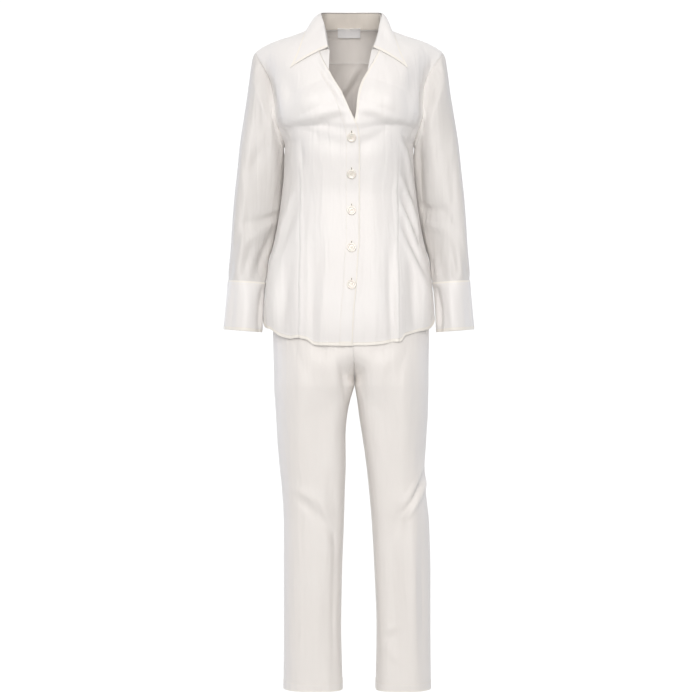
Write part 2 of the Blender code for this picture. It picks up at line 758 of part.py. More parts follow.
def collar_stand():
    seam = neck_seam()
    stations = collar_stations()
    top = np.array([roll_point(station) for station in stations])
    rows = [blend(seam, top, share) for share in np.linspace(0, STAND_SHARE, STAND_ROWS + 1)]
    points = pull_in(np.array(rows), ("first_row",), STAND_GAP)
    return points, -grid_normals(points)


def collar_leaf():
    stations = collar_stations()
    start = np.array([roll_point(station) for station in stations])
    out = start * np.array((1.0, 1.0, 0.0))
    start += out / np.linalg.norm(out, axis=1, keepdims=True) * LEAF_START
    start[:, 2] += WALL + LAY_GAP
    rows = []
    for share in np.linspace(0, 1, LEAF_ROWS + 1):
        line = []
        for begin, station in zip(start, stations):
            end = clear_of_body(leaf_edge_point(station), LEAF_CLEARANCE)
            point = blend(begin, end, share)
            out = unit(np.array((point[0], point[1], LEAF_LEAN)))
            point = point + out * LEAF_BULGE * math.sin(math.pi * share ** LEAF_BULGE_POWER)
            line.append(clear_of_body(point, LEAF_CLEARANCE) if share > 0 else point)
        rows.append(line)
    points = np.array(rows)
    return points, grid_normals(points)


def neck_label():
    rows = []
    normals = []
    for step in (0.0, 0.5, 1.0):
        z = blend(LABEL_TOP_Z, LABEL_BOTTOM_Z, step)
        lift = -(WALL + 2 * LAY_GAP + LABEL_DROP * step)
        line = [shirt_point(x, z, BACK, lift)
                for x in np.linspace(-LABEL_HALF_WIDTH, LABEL_HALF_WIDTH, LABEL_COLUMNS)]
        rows.append([point for point, _ in line])
        normals.append([normal for _, normal in line])
    return np.array(rows), np.array(normals)


# ------------------------------------------------------------------ sleeves

def armhole_ring():
    """Points and normals round the left armhole: underarm, front, shoulder tip, back."""
    levels = arm_levels()
    front = [shirt_point(side_x(z), z, FRONT) for z in levels]
    back = [shirt_point(side_x(z), z, BACK) for z in levels[-2:0:-1]]
    return (np.array([point for point, _ in front + back]),
            np.array([normal for _, normal in front + back]))


def rung_ring(table, station, count):
    """An oval ring on one rung of a sleeve: inner, front, outer, back."""
    outer = np.array([table.at(f"outer_{axis}", station) for axis in "xyz"])
    inner = np.array([table.at(f"inner_{axis}", station) for axis in "xyz"])
    centre = (outer + inner) / 2
    reach = (outer - inner) / 2
    half_depth = table.at("depth", station) / 2
    turns = np.linspace(0, 2 * math.pi, count, endpoint=False)
    return np.array([centre - reach * math.cos(turn) - np.array((0, half_depth * math.sin(turn), 0))
                     for turn in turns])


def sleeve_grid():
    hole, hole_normals = armhole_ring()
    count = len(hole)
    first = rung_ring(SLEEVE, 0.0, count)
    rings = []
    for row in range(SLEEVE_ROWS + 1):
        station = SLEEVE_LENGTH * (row / SLEEVE_ROWS) ** SLEEVE_SPACING
        ring = rung_ring(SLEEVE, station, count)
        rings.append(ring + (hole - first) * (1 - ease(station / CAP_FADE)))
    points = pull_in(np.array(rings), ("first_row",), ARMHOLE_GAP)
    points = pull_in(points, ("last_row",))
    normals = -grid_normals(points, closed=True)
    shared = normals[0] + hole_normals
    normals[0] = shared / np.linalg.norm(shared, axis=1, keepdims=True)
    return points, normals


def cuff_grid():
    rings = [rung_ring(CUFF, row / CUFF_ROWS, CUFF_POINTS) for row in range(CUFF_ROWS + 1)]
    points = pull_in(np.array(rings), ("first_row",))
    return points, -grid_normals(points, closed=True)


def mirrored(grid):
    points, normals = grid
    flip = np.array((-1.0, 1.0, 1.0))
    return points * flip, normals * flip


# ------------------------------------------------------------------ trousers

def rounded(turn):
    """Cosine and sine of a slightly square ring."""
    power = 2 / LEG_POWER
    across, forward = math.cos(turn), math.sin(turn)
    return (math.copysign(abs(across) ** power, across),
            math.copysign(abs(forward) ** power, forward))


def leg_point(table, hand, z, turn):
    """turn is 0 at the outer seam, pi at the inner seam, positive over the front."""
    outer, inner = table.at("outer", z), table.at("inner", z)
    across, forward = rounded(turn)
    depth = table.at("front_depth" if turn > 0 else "back_depth", z)
    x = (outer + inner) / 2 + across * (outer - inner) / 2
    return np.array((hand * x, -depth * forward, z))


def hip_point(hand, z, turn):
    """turn is 0 at the side seam and pi/2 at the centre seam."""
    seam = HIPS.at("seam", z)
    reach = HIPS.at("half_width", z) + hand * HIP_CENTRE - hand * seam
    across, forward = rounded(turn)
    depth = HIPS.at("front_depth" if turn > 0 else "back_depth", z)
    return np.array((seam + hand * reach * across, -depth * forward, z))


def trouser_levels():
    legs = np.linspace(HEM_Z, CROTCH_Z, LEG_ROWS + 1)
    rise = np.linspace(CROTCH_Z, CROTCH_Z + BACK_RISE, RISE_ROWS + 1)[1:]
    hips = np.linspace(CROTCH_Z + BACK_RISE, WAIST_Z - BAND_DEPTH, HIP_ROWS + 1)[1:]
    return np.concatenate((legs, rise, hips))


def trouser_panel(hand, face):
    """One leg's front or back, from the outer seam to the inner and centre seams."""
    table = RIGHT_LEG if hand == RIGHT else LEFT_LEG
    height = FRONT_RISE if face == FRONT else BACK_RISE
    rows = []
    for z in trouser_levels():
        share = ease((z - CROTCH_Z) / height)
        line = []
        for step in range(PANEL_COLUMNS + 1):
            part = step / PANEL_COLUMNS
            turn = -face * part * math.pi
            leg = leg_point(table, hand, z, turn)
            hip = hip_point(hand, z, turn / 2)
            point = blend(leg, hip, share)
            point[1] *= 1 + RISE_FILL * 4 * share * (1 - share)
            fold = fold_height(TROUSER_FOLDS, face, point[0], z)
            point[1] += face * fold * math.sin(part * math.pi)
            line.append(point)
        rows.append(line)
    return np.array(rows)


def trouser_normals(points, face, hand):
    """Slopes of one panel, made to agree with its neighbour's along each seam."""
    normals = grid_normals(points)
    if normals[len(points) // 2, points.shape[1] // 2][1] * face < 0:
        normals = -normals
    normals[:, 0, 1] = 0.0
    above = trouser_levels() > CROTCH_Z + TINY
    normals[above, -1, 0] = 0.0
    normals[~above, -1, 1] = 0.0
    normals[LEG_ROWS, -1] = (0.0, 0.0, -1.0)
    return normals / np.linalg.norm(normals, axis=2, keepdims=True)


def trousers():
    grids = {}
    for hand in (RIGHT, LEFT):
        for face in (FRONT, BACK):
            points = trouser_panel(hand, face)
            normals = trouser_normals(points, face, hand)
            points = pull_in(points, ("first_column", "last_column", "last_row"))
            above = trouser_levels() > CROTCH_Z - TINY
            seams = np.array([HIPS.at("seam", z) for z in trouser_levels()[above]])
            points[above, -1, 0] = seams + hand * SEAM_GAP / 2
            grids[hand, face] = (points, normals)
    return grids


def waistband():
    rings = []
    quarter = math.pi / 2
    quarters = ((LEFT, TINY, quarter), (RIGHT, quarter, TINY),
                (RIGHT, -TINY, -quarter), (LEFT, -quarter, -TINY))
    for z in np.linspace(WAIST_Z - BAND_DEPTH, WAIST_Z, BAND_ROWS + 1):
        ring = []
        for hand, start, end in quarters:
            for turn in np.linspace(start, end, BAND_COLUMNS, endpoint=False):
                ring.append(hip_point(hand, z, turn))
        rings.append(ring)
    points = pull_in(np.array(rings), ("first_row",))
    return points, -grid_normals(points, closed=True)


# ------------------------------------------------------------------ buttons

def button_mesh():
    """A turned shell button."""
    profile = [(float(row[1]), float(row[2])) for row in BUTTON_PROFILE.rows]
    points = []
    for radius, height in profile:
        for side in range(BUTTON_SIDES):
            turn = 2 * math.pi * side / BUTTON_SIDES
            points.append((radius * math.cos(turn), radius * math.sin(turn), height))
    faces = []
    for level in range(len(profile) - 1):
        for side in range(BUTTON_SIDES):
            a = level * BUTTON_SIDES + side
            b = level * BUTTON_SIDES + (side + 1) % BUTTON_SIDES
            faces.append((a, b, b + BUTTON_SIDES, a + BUTTON_SIDES))
    faces.append(tuple(reversed(range(BUTTON_SIDES))))
    top = (len(profile) - 1) * BUTTON_SIDES
    faces.append(tuple(range(top, top + BUTTON_SIDES)))
    mesh = bpy.data.meshes.new("shell_button")
    mesh.from_pydata(points, [], faces)
    mesh.update()
    return mesh


def add_buttons():
    mesh = button_mesh()
    for number, height in enumerate(BUTTON_HEIGHTS, start=1):
        place, normal = shirt_point(BUTTON_X, height, FRONT, 2 * LAY_GAP + BAND_WALL)
        button = add_object(f"button_{number}", mesh, SHELL)
        button.location = place
        button.rotation_mode = "QUATERNION"
        button.rotation_quaternion = Vector(normal).to_track_quat("Z", "Y")


# ------------------------------------------------------------------ the set

def clear_scene():
    for item in list(bpy.data.objects):
        bpy.data.objects.remove(item, do_unlink=True)


def build():
    clear_scene()
    add_wall("shirt_front_right", *front_panel(RIGHT))
    add_wall("shirt_front_left", *front_panel(LEFT))
    add_wall("shirt_buttonhole_band", *band_panel(), wall=BAND_WALL)
    add_wall("shirt_back", *back_panel())
    add_wall("shirt_yoke", *yoke_panel())
    add_wall("collar_stand", *collar_stand())
    add_wall("collar_leaf", *collar_leaf())
    add_wall("neck_label", *neck_label(), wall=LABEL_WALL, finish=RIBBON)
    sleeve = sleeve_grid()
    cuff = cuff_grid()
    add_wall("sleeve_left", *sleeve, closed=True)
    add_wall("sleeve_right", *mirrored(sleeve), closed=True)
    add_wall("cuff_left", *cuff, closed=True)
    add_wall("cuff_right", *mirrored(cuff), closed=True)
    add_buttons()
    hand_names = {RIGHT: "right", LEFT: "left"}
    face_names = {FRONT: "front", BACK: "back"}
    for (hand, face), grid in trousers().items():
        add_wall(f"trouser_{face_names[face]}_{hand_names[hand]}", *grid)
    add_wall("trouser_waistband", *waistband(), closed=True)


build()
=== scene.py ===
import math

import bpy
import numpy as np
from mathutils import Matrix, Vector


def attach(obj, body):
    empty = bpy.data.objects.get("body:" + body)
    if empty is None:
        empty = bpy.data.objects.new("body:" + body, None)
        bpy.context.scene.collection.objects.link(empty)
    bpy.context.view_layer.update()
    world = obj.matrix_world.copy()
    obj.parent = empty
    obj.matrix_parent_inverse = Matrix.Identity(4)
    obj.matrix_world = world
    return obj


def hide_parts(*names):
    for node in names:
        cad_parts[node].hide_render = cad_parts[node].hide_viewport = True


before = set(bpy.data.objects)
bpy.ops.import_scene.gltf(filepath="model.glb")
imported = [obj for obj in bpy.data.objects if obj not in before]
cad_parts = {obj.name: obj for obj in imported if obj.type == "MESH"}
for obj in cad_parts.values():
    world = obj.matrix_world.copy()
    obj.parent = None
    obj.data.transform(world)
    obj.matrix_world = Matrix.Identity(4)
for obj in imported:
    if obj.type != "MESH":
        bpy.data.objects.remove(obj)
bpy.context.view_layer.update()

front, back = -1, 1          # the sign of Y on each face
right, left = -1, 1          # the sign of X on the wearer's right and left
print("frame loaded")


# The camera stands level, a little below the middle of the set.
viewPoint = dict(place=(0.0022, -4.2, -0.651), lens=98.18, sensor=36.0)

cameraData = bpy.data.cameras.new("camera")
cameraData.lens = viewPoint["lens"]
cameraData.sensor_width = viewPoint["sensor"]
camera = bpy.data.objects.new("camera", cameraData)
camera.location = viewPoint["place"]
camera.rotation_euler = (math.pi / 2, 0, 0)
bpy.context.scene.collection.objects.link(camera)
bpy.context.scene.camera = camera


# Materials: colours are sRGB hex, turned to linear here.
def linearColour(text):
    values = [int(text[i:i + 2], 16) / 255 for i in (1, 3, 5)]
    return tuple(v / 12.92 if v <= 0.04045 else ((v + 0.055) / 1.055) ** 2.4 for v in values) + (1.0,)


def setSockets(node, values):
    for socket, value in values.items():
        node.inputs[socket].default_value = value


def addNode(tree, kind, values=None, links=None, **settings):
    node = tree.nodes.new(kind)
    for name, value in settings.items():
        setattr(node, name, value)
    setSockets(node, values or {})
    for socket, source in (links or {}).items():
        tree.links.new(source, node.inputs[socket])
    return node


def newMaterial(name, values):
    material = bpy.data.materials.new(name)
    material.use_nodes = True
    shader = material.node_tree.nodes["Principled BSDF"]
    setSockets(shader, values)
    return material, material.node_tree, shader


def finishMaterial(tree, shader, colour, bump):
    tree.links.new(colour, shader.inputs["Base Color"])
    tree.links.new(bump.outputs["Normal"], shader.inputs["Normal"])


satinLook = dict(warm="#EFECEA", cool="#F2F1F0", roughness=0.56, gloss=0.80, sheen=0.12, coat=0.12,
                 coatRoughness=0.40, ripple=0.30, pull=0.70)


# Silk charmeuse, woven in satin weave and pressed: long floats lie side by side along the
# warp, so it has a broad soft gloss, and the light runs in bands along each fold.
def silkSatin(finish, **changes):
    look = dict(satinLook, **changes)
    material, tree, shader = newMaterial("silk charmeuse, ivory, " + finish, {
        "Roughness": look["roughness"], "IOR": 1.5, "Specular IOR Level": look["gloss"],
        "Sheen Weight": look["sheen"], "Sheen Roughness": 0.45,
        "Coat Weight": look["coat"], "Coat Roughness": look["coatRoughness"]})
    place = {"Vector": addNode(tree, "ShaderNodeTexCoord").outputs["Object"]}
    # slight unevenness of the dye and the press, over about 120 mm
    cloud = addNode(tree, "ShaderNodeTexNoise", {"Scale": 8.0, "Detail": 2.0, "Roughness": 0.5}, place)
    tint = addNode(tree, "ShaderNodeMix",
                   {"A": linearColour(look["warm"]), "B": linearColour(look["cool"])},
                   {"Factor": cloud.outputs["Fac"]}, data_type="RGBA")
    # warp floats: threads of 0.1 mm, drawn about 1 mm apart so that they show at all
    stretch = addNode(tree, "ShaderNodeMapping", {"Scale": (1000.0, 1000.0, 45.0)}, place)
    floats = addNode(tree, "ShaderNodeTexNoise", {"Scale": 1.0, "Detail": 1.0},
                     {"Vector": stretch.outputs["Vector"]})
    # small ripples left by the press, 15 to 30 mm long
    ripples = addNode(tree, "ShaderNodeTexNoise", {"Scale": 38.0, "Detail": 2.0, "Roughness": 0.45}, place)
    # long shallow pulls along the warp, about 15 mm wide and 120 mm long
    stretch = addNode(tree, "ShaderNodeMapping",
                      {"Scale": (62.0, 62.0, 8.0), "Rotation": (0.0, 0.06, 0.0)}, place)
    pulls = addNode(tree, "ShaderNodeTexNoise",
                    {"Scale": 1.0, "Detail": 1.5, "Roughness": 0.4, "Distortion": 0.4},
                    {"Vector": stretch.outputs["Vector"]})
    under = {}
    for relief, strength, depth in ((floats, 0.25, 0.00025), (ripples, look["ripple"], 0.0016),
                                    (pulls, look["pull"], 0.0030)):
        bump = addNode(tree, "ShaderNodeBump", {"Strength": strength, "Distance": depth},
                       dict(under, Height=relief.outputs["Fac"]))
        under = {"Normal": bump.outputs["Normal"]}
    finishMaterial(tree, shader, tint.outputs["Result"], bump)
    return material


# Mother of pearl, turned and polished: layered shell, so it is glossy with a faint cloudy
# pink and green lustre.
def pearlShell(look):
    material, tree, shader = newMaterial("mother of pearl, polished", {
        "Roughness": look["roughness"], "IOR": 1.53, "Coat Weight": 0.5, "Coat Roughness": 0.08})
    place = addNode(tree, "ShaderNodeTexCoord")
    # cloudy patches of the shell's layers, about 6 mm across
    layers = addNode(tree, "ShaderNodeTexNoise", {"Scale": 160.0, "Detail": 3.0, "Distortion": 1.2},
                     {"Vector": place.outputs["Object"]})
    ramp = addNode(tree, "ShaderNodeValToRGB", links={"Fac": layers.outputs["Fac"]})
    stops = ramp.color_ramp.elements
    stops[0].position, stops[0].color = 0.30, linearColour(look["rose"])
    stops[1].position, stops[1].color = 0.72, linearColour(look["green"])
    stops.new(0.5).color = linearColour(look["cream"])
    bump = addNode(tree, "ShaderNodeBump", {"Strength": 0.15, "Distance": 0.0002},
                   {"Height": layers.outputs["Fac"]})
    finishMaterial(tree, shader, ramp.outputs["Color"], bump)
    return material


# Woven taffeta ribbon and spun sewing thread: matt, with fine cross ribs.
def wovenThread(name, colour, ribs):
    material, tree, shader = newMaterial(name, {"Roughness": 0.6, "Sheen Weight": 0.2})
    place = addNode(tree, "ShaderNodeTexCoord")
    rib = addNode(tree, "ShaderNodeTexWave", {"Scale": ribs, "Distortion": 0.6, "Detail": 1.0},
                  {"Vector": place.outputs["Object"]}, bands_direction="Z")
    low = addNode(tree, "ShaderNodeMath", {1: 0.12}, {0: rib.outputs["Fac"]}, operation="MULTIPLY")
    shade = addNode(tree, "ShaderNodeMix", {"A": linearColour(colour), "B": linearColour("#FFFFFF")},
                    {"Factor": low.outputs["Value"]}, data_type="RGBA")
    bump = addNode(tree, "ShaderNodeBump", {"Strength": 0.4, "Distance": 0.0002},
                   {"Height": rib.outputs["Fac"]})
    finishMaterial(tree, shader, shade.outputs["Result"], bump)
    return material


shirtSatin = silkSatin("pressed")
# the sleeves take a darker copy of the satin: painted shade, where the empty sleeves fall darker than the
# filled body
sleeveSatin = silkSatin("single layer, painted shade", warm="#DAD7D4", cool="#E1DFDD", pull=1.0)
trouserSatin = silkSatin("soft", warm="#EFEBE7", cool="#F2EFEC")
# turned edges are two or three layers thick, so they let no light through and look creamier
edgeSatin = silkSatin("turned and stitched", warm="#F4F0E8", cool="#F5F2EC", gloss=0.7, coat=0.10)
# the wrong side of charmeuse is dull crepe; its colour is also a little darker than the face, as painted
# shade inside the garment
crepeBackPaintedShade = silkSatin("crepe back", warm="#EAE5E0", cool="#EEEAE6", roughness=0.62, gloss=0.5, coat=0.1)
# a darker, duller copy for the stand behind the neck: painted shade inside the collar
collarPaintedShade = silkSatin("collar inside, painted shade", warm="#D6CFC6", cool="#DAD4CC", roughness=0.62, gloss=0.4,
                        coat=0.0)
pearl = pearlShell(dict(rose="#E9DED8", cream="#F4EFE6", green="#E4E6DC", roughness=0.18))
ribbon = wovenThread("woven taffeta ribbon, white", "#F4F4F5", 900.0)
thread = wovenThread("spun silk sewing thread, ivory", "#EFE9DE", 1500.0)
# a dark sheet in each buttonhole slit: painted shadow
shadowCloth = wovenThread("painted shadow inside a buttonhole", "#4A433C", 900.0)
print("materials ready")


# Rows of sizes in millimetres under named columns, read smoothly along the first column.
# Shares, stations and turns are in thousandths.
class SizeTable:
    def __init__(self, columns, rows):
        self.columns = columns.split()
        self.rows = np.array(sorted(rows), dtype=float) / 1000
        self.keys = self.rows[:, 0]
        rises = np.diff(self.rows, axis=0) / np.diff(self.keys)[:, None]
        self.slopes = np.zeros_like(self.rows)
        self.slopes[0], self.slopes[-1] = rises[0], rises[-1]
        before, after = rises[:-1], rises[1:]
        sameWay = before * after > 0
        total = np.where(sameWay, before + after, 1.0)
        self.slopes[1:-1] = np.where(sameWay, 2 * before * after / total, 0.0)

    def at(self, column, key):
        index = self.columns.index(column)
        key = np.clip(np.asarray(key, dtype=float), self.keys[0], self.keys[-1])
        row = np.clip(np.searchsorted(self.keys, key, side="right") - 1, 0, len(self.keys) - 2)
        width = self.keys[row + 1] - self.keys[row]
        t = (key - self.keys[row]) / width
        start, end = self.rows[row, index], self.rows[row + 1, index]
        curve = (2 * t**3 - 3 * t**2 + 1) * start + (3 * t**2 - 2 * t**3) * end
        curve = curve + (t**3 - 2 * t**2 + t) * self.slopes[row, index] * width
        return curve + (t**3 - t**2) * self.slopes[row + 1, index] * width


def blend(start, end, share):
    return start + (end - start) * share


def ease(share):
    share = np.clip(share, 0.0, 1.0)
    return share * share * (3 - 2 * share)


def unitRows(vectors):
    return vectors / np.maximum(np.linalg.norm(vectors, axis=-1, keepdims=True), 1e-12)


# The filled-out shirt.
depthColumn = {front: "frontDepth", back: "backDepth"}
body = dict(acrossPower=2.4, depthPower=2.2, capStart=-0.12, capPower=3.0, tipX=0.205, tipZ=0.004,
            neckX=0.076, underarmZ=-0.205, foldFade=0.2, neckRound=0.030, creaseStrength=1.6)
bodyTable = SizeTable("height halfWidth frontDepth backDepth", [
    (-680, 190, 119, 132), (-580, 188, 117, 131), (-508, 182.5, 113, 127), (-460, 176.5, 110, 121),
    (-420, 166, 106, 111), (-360, 154.5, 99, 96), (-320, 149, 97, 90), (-270, 144, 104, 92),
    (-205, 141.5, 118, 100), (-190, 150.3, 121.5, 102), (-165, 168, 124, 106), (-134, 185.3, 122, 109),
    (-100, 198.5, 113, 111), (-68, 206.5, 105, 111), (-20, 222, 98, 108), (4, 230, 96, 105),
    (100, 235, 95, 103),
])
shoulderTable = SizeTable("reach height", [
    (30, 86), (58.3, 70.5), (81.7, 58), (123.7, 40.5), (165.7, 26.5), (192.4, 14), (207.2, 4),
])
armholeTable = SizeTable("height share", [
    (-205, 1000), (-198, 991), (-187, 976), (-173, 957), (-138, 925), (-100, 906), (-20, 894),
    (4, 205 / 0.23),
])
frontEdgeTable = SizeTable("height right left", [
    (-645, 7.5, -18), (-563, 11.5, -18), (-519, 16, -18), (-450, 20, -18), (-410, 23, -18),
    (-250, 23.5, -17), (-205, 23.5, -10), (-178, 20.5, 4), (-156, 10.7, 11.5), (-138, 2, 15),
    (-117, -7, 16.5), (-95, -17.5, 20), (-74, -30, 27), (-50, -43, 40), (-30, -54, 52), (-4, -65, 64),
    (22, -73, 72.5), (45, -75.8, 75.8),
])


def shoulderHeight(x):
    return shoulderTable.at("height", np.hypot(x, body["neckRound"]))


def fullness(x, z):
    across = 1 - (np.abs(x) / bodyTable.at("halfWidth", z)) ** body["acrossPower"]
    rise = np.maximum(0.0, z - body["capStart"]) / (shoulderHeight(x) - body["capStart"])
    return across * (1 - rise ** body["capPower"])


def bodyDepth(z, face):
    return bodyTable.at(depthColumn[face], z)


def bodyField(points):
    x, y, z = points[..., 0], points[..., 1], points[..., 2]
    depth = np.where(y < 0, bodyDepth(z, front), bodyDepth(z, back))
    return np.abs(y) ** body["depthPower"] / depth ** body["depthPower"] - fullness(x, z)


def bodyNormal(points, step=0.0004):
    slope = np.zeros_like(points)
    for axis in range(3):
        move = np.zeros(3)
        move[axis] = step
        slope[..., axis] = bodyField(points + move) - bodyField(points - move)
    return unitRows(slope)


def clearOfBody(points, clearance):
    step = 0.0004
    for _ in range(4):
        normal = bodyNormal(points)
        rise = bodyField(points + normal * step) - bodyField(points - normal * step)
        distance = bodyField(points) * 2 * step / rise
        points = points + normal * np.maximum(0.0, clearance - distance)[..., None]
    return points


# Soft creases in millimetres, each from one end to the other: x1 z1 x2 z2 width depth bow
# lean. Depth is a ridge above 0 and a trough below it, bow bends the line sideways, and lean
# makes one flank steeper than the other. The last two may be left out.
def creaseHeight(creases, x, z):
    height = np.zeros(np.broadcast(x, z).shape)
    for crease in creases:
        x1, z1, x2, z2, width, depth, bow = np.append(crease, (0, 0))[:7] / 1000
        lean = crease[7] if len(crease) > 7 else 0
        runX, runZ = x2 - x1, z2 - z1
        length = math.hypot(runX, runZ)
        along = ((x - x1) * runX + (z - z1) * runZ) / length**2
        held = np.clip(along, 0, 1)
        side = ((z - z1) * runX - (x - x1) * runZ) / length - bow * 4 * held * (1 - held)
        beyond = np.abs(along - held) * length
        flank = width * np.where(side > 0, 1 + lean, 1 - lean)
        strength = depth * (0.35 + 0.65 * np.sin(np.pi * held)) * np.exp(-(beyond / width) ** 2)
        height += strength * np.exp(-(side / flank) ** 2)
    return height


# Broad forms of the front: the hem hanging in, the fullness over each bust, and the hollow by
# each armhole.
frontForms = [
    (-175, -620, 175, -620, 28, -5, -26), (-88, -85, -68, -132, 50, 10.5), (84, -80, 66, -132, 50, 11),
    (-200, -10, -172, -150, 30, -21), (196, 0, 168, -145, 34, -26),
]
frontCreases = [
    # under the bust, one arch on each side
    (-148, -179, -4, -181, 20, -8.4, 7, -0.38), (-98, -184, -6, -212, 14, -3.6, -3, -0.3),
    (26, -180, 153, -178, 20, -8.4, 7, -0.38), (14, -212, 80, -186, 14, -3.4, -3, -0.3),
    # the hollow between, below the V
    (-74, -169, -8, -153, 13, -6, 3, -0.2), (24, -150, 80, -166, 13, -4.6, 3, -0.2),
    # the pull along the edge of the V
    (-70, -30, -5, -134, 6, -3),
    # down from the V to the top button
    (-60, -60, -12, -150, 14, 1, 6, 0.3), (-80, -70, -40, -150, 18, -0.8, 4),
    (45, -60, 28, -150, 14, 0.9, -4, 0.2), (80, -60, 60, -140, 18, -0.8),
    # towards the armholes
    (-175, -60, -140, -165, 14, 3, 6, 0.3), (-150, -40, -120, -130, 18, -2.4, 4),
    (172, -60, 150, -165, 13, 3.2, -6, -0.3), (145, -40, 125, -125, 18, -2.6),
    # slanting drags at the waist, stronger on the wearer's left
    (112, -285, 152, -395, 5.5, 5, 3, 0.5), (113, -318, 150, -425, 5.5, -4.2, 3, 0.3),
    (112, -345, 155, -452, 6, 4.2, 3, 0.4), (114, -380, 160, -490, 7, -3.8, 3, 0.3),
    (116, -410, 166, -540, 8.5, 3.4, 3, 0.4), (114, -200, 148, -330, 8, 3.4, 4, 0.3),
    (122, -190, 150, -290, 8, -3, 4, 0.3), (-113, -300, -150, -400, 8, 2.6, -3, -0.4),
    (-112, -340, -148, -440, 8, -2.2, -3), (-105, -205, -100, -260, 6, -2.2),
    # the skirt stands out at the sides
    (-162, -400, -176, -640, 28, 7.5), (166, -430, 178, -640, 26, 4.8), (120, -240, 148, -350, 13, -3),
    # long soft folds of the skirt, down to the hem
    (-75, -420, -82, -650, 13, -1.8, 2, 0.2), (-55, -480, -60, -650, 12, 1.5),
    (-150, -460, -165, -600, 12, 3), (-130, -480, -142, -610, 9, -2.6),
    (86, -430, 92, -650, 9, -2.4, -2, 0.4), (98, -460, 108, -640, 9, 2.2, 0, 0.3),
    (132, -470, 142, -610, 9, -2.8), (155, -480, 166, -600, 11, 2.6), (50, -250, 54, -420, 16, 1),
    (-55, -240, -50, -420, 18, 0.9),
]
backCreases = [
    (-110, -280, -20, -320, 14, -4.5, 6, 0.2), (110, -290, 20, -335, 14, -4.5, -6, 0.2),
    (-120, -320, -30, -362, 12, 3.5, 5, 0.3), (120, -335, 35, -372, 12, 3.5, -5, 0.3),
    (-100, -120, -60, -240, 16, 3.6, 4), (100, -120, 60, -240, 16, 3.6, -4),
    (-75, -130, -35, -270, 13, -3.2), (72, -140, 30, -260, 13, -3), (36, -18, -30, -120, 9, 4, 0, 0.3),
    (16, -18, -50, -120, 8, -4), (60, -30, 0, -150, 10, -3.6, 0, 0.3), (-14, -14, -75, -110, 10, 3.4),
    (-70, -430, -85, -640, 14, -4, 0, 0.2), (-20, -440, -24, -650, 15, 3.4),
    (40, -430, 46, -650, 14, -3.8, 0, 0.2), (95, -420, 112, -630, 14, 3.6),
    (-125, -430, -145, -610, 12, 3.4), (140, -440, 155, -600, 12, -3),
]

# Rates are in radians a metre.
dart = dict(tipZ=-0.225, fade=0.070, halfWidth=0.0017, depth=0.0007, puff=0.0011, sway=0.0008, swayRate=47,
            waver=0.0004, waverRate=131, pucker=0.45, puckerRate=430, puckerShift=61)
dartTable = SizeTable("height x", [
    (-660, 110), (-330, 107), (-215, 109), (-100, 120), (50, 140),
])


# The long dart draws the cloth in along a sewn line, with a soft swell on each side of it.
def dartHeight(x, z, face):
    if face != front:
        return 0.0
    d = dart
    sewn = dartTable.at("x", z) + d["sway"] * np.sin(z * d["swayRate"])
    sewn = sewn + d["waver"] * np.sin(z * d["waverRate"] + x * 9)
    away = (np.abs(x) - sewn) / d["halfWidth"]
    reach = ease((d["tipZ"] - z) / d["fade"])
    pucker = 1 + d["pucker"] * np.sin(z * d["puckerRate"] + 2 * np.sin(z * d["puckerShift"]))
    # a high swell on the side of the buttons, and a low broad one on the other
    swell = np.exp(-((away + 2.6) / 2.6) ** 2) + 0.5 * np.exp(-((away - 4) / 4.5) ** 2)
    return reach * (d["puff"] * pucker * swell - d["depth"] * np.exp(-away**2))


# Points of the shirt's outer surface and the way out at each.
def shirtSurface(x, z, face, lift=0.0):
    x, z = np.broadcast_arrays(np.asarray(x, dtype=float), np.asarray(z, dtype=float))
    full = np.maximum(fullness(x, z), 0.0)
    y = face * bodyDepth(z, face) * full ** (1 / body["depthPower"])
    points = np.stack((x, y, z), axis=-1)
    normals = bodyNormal(points)
    soft = np.minimum(1.0, full / body["foldFade"])
    creases = frontCreases if face == front else backCreases
    rise = creaseHeight(creases, x, z) * body["creaseStrength"]
    if face == front:
        rise = rise + creaseHeight(frontForms, x, z)
    rise = rise * soft + dartHeight(x, z, face) + lift
    return points + normals * rise[..., None], normals


# Meshes: a grid of outer points becomes a thin shell of cloth, one face thick at its edges.
cloth = dict(wall=0.0009, seamGap=0.0004, seamDepth=0.0009, seamReach=0.0035)
allSides = ("firstRow", "lastRow", "firstColumn", "lastColumn")


def gridNormals(points, closed=False):
    if closed:
        across = np.roll(points, -1, axis=1) - np.roll(points, 1, axis=1)
    else:
        across = np.gradient(points, axis=1)
    return unitRows(np.cross(across, np.gradient(points, axis=0)))


def runLength(lines):
    length = np.cumsum(np.linalg.norm(np.diff(lines, axis=0), axis=-1), axis=0)
    return np.concatenate((np.zeros_like(length[:1]), length))


def pullIn(points, sides, gap=cloth["seamGap"]):
    trimmed = points.copy()
    ends = dict(zip(allSides, ((0, 0, 1), (0, -1, -2), (1, 0, 1), (1, -1, -2))))
    for side in sides:
        axis, edge, inside = ends[side]
        lines = np.moveaxis(trimmed, axis, 0)
        way = lines[inside] - lines[edge]
        length = np.maximum(np.linalg.norm(way, axis=-1, keepdims=True), 1e-9)
        lines[edge] += way / length * np.minimum(gap / 2, length / 2)
    return trimmed


def joinMeshes(name, parts, material, smooth=True):
    allPoints, allFaces, start = [], [], 0
    for points, faces in parts:
        allPoints.append(np.asarray(points, dtype=float).reshape(-1, 3))
        allFaces += [tuple(int(c) + start for c in face) for face in faces]
        start += len(allPoints[-1])
    mesh = bpy.data.meshes.new(name)
    mesh.from_pydata(np.concatenate(allPoints).tolist(), [], allFaces)
    mesh.materials.append(material)
    if smooth:
        mesh.shade_smooth()
        mesh.set_sharp_from_angle(angle=math.radians(55))
    mesh.update()
    piece = bpy.data.objects.new(name, mesh)
    bpy.context.scene.collection.objects.link(piece)
    return piece


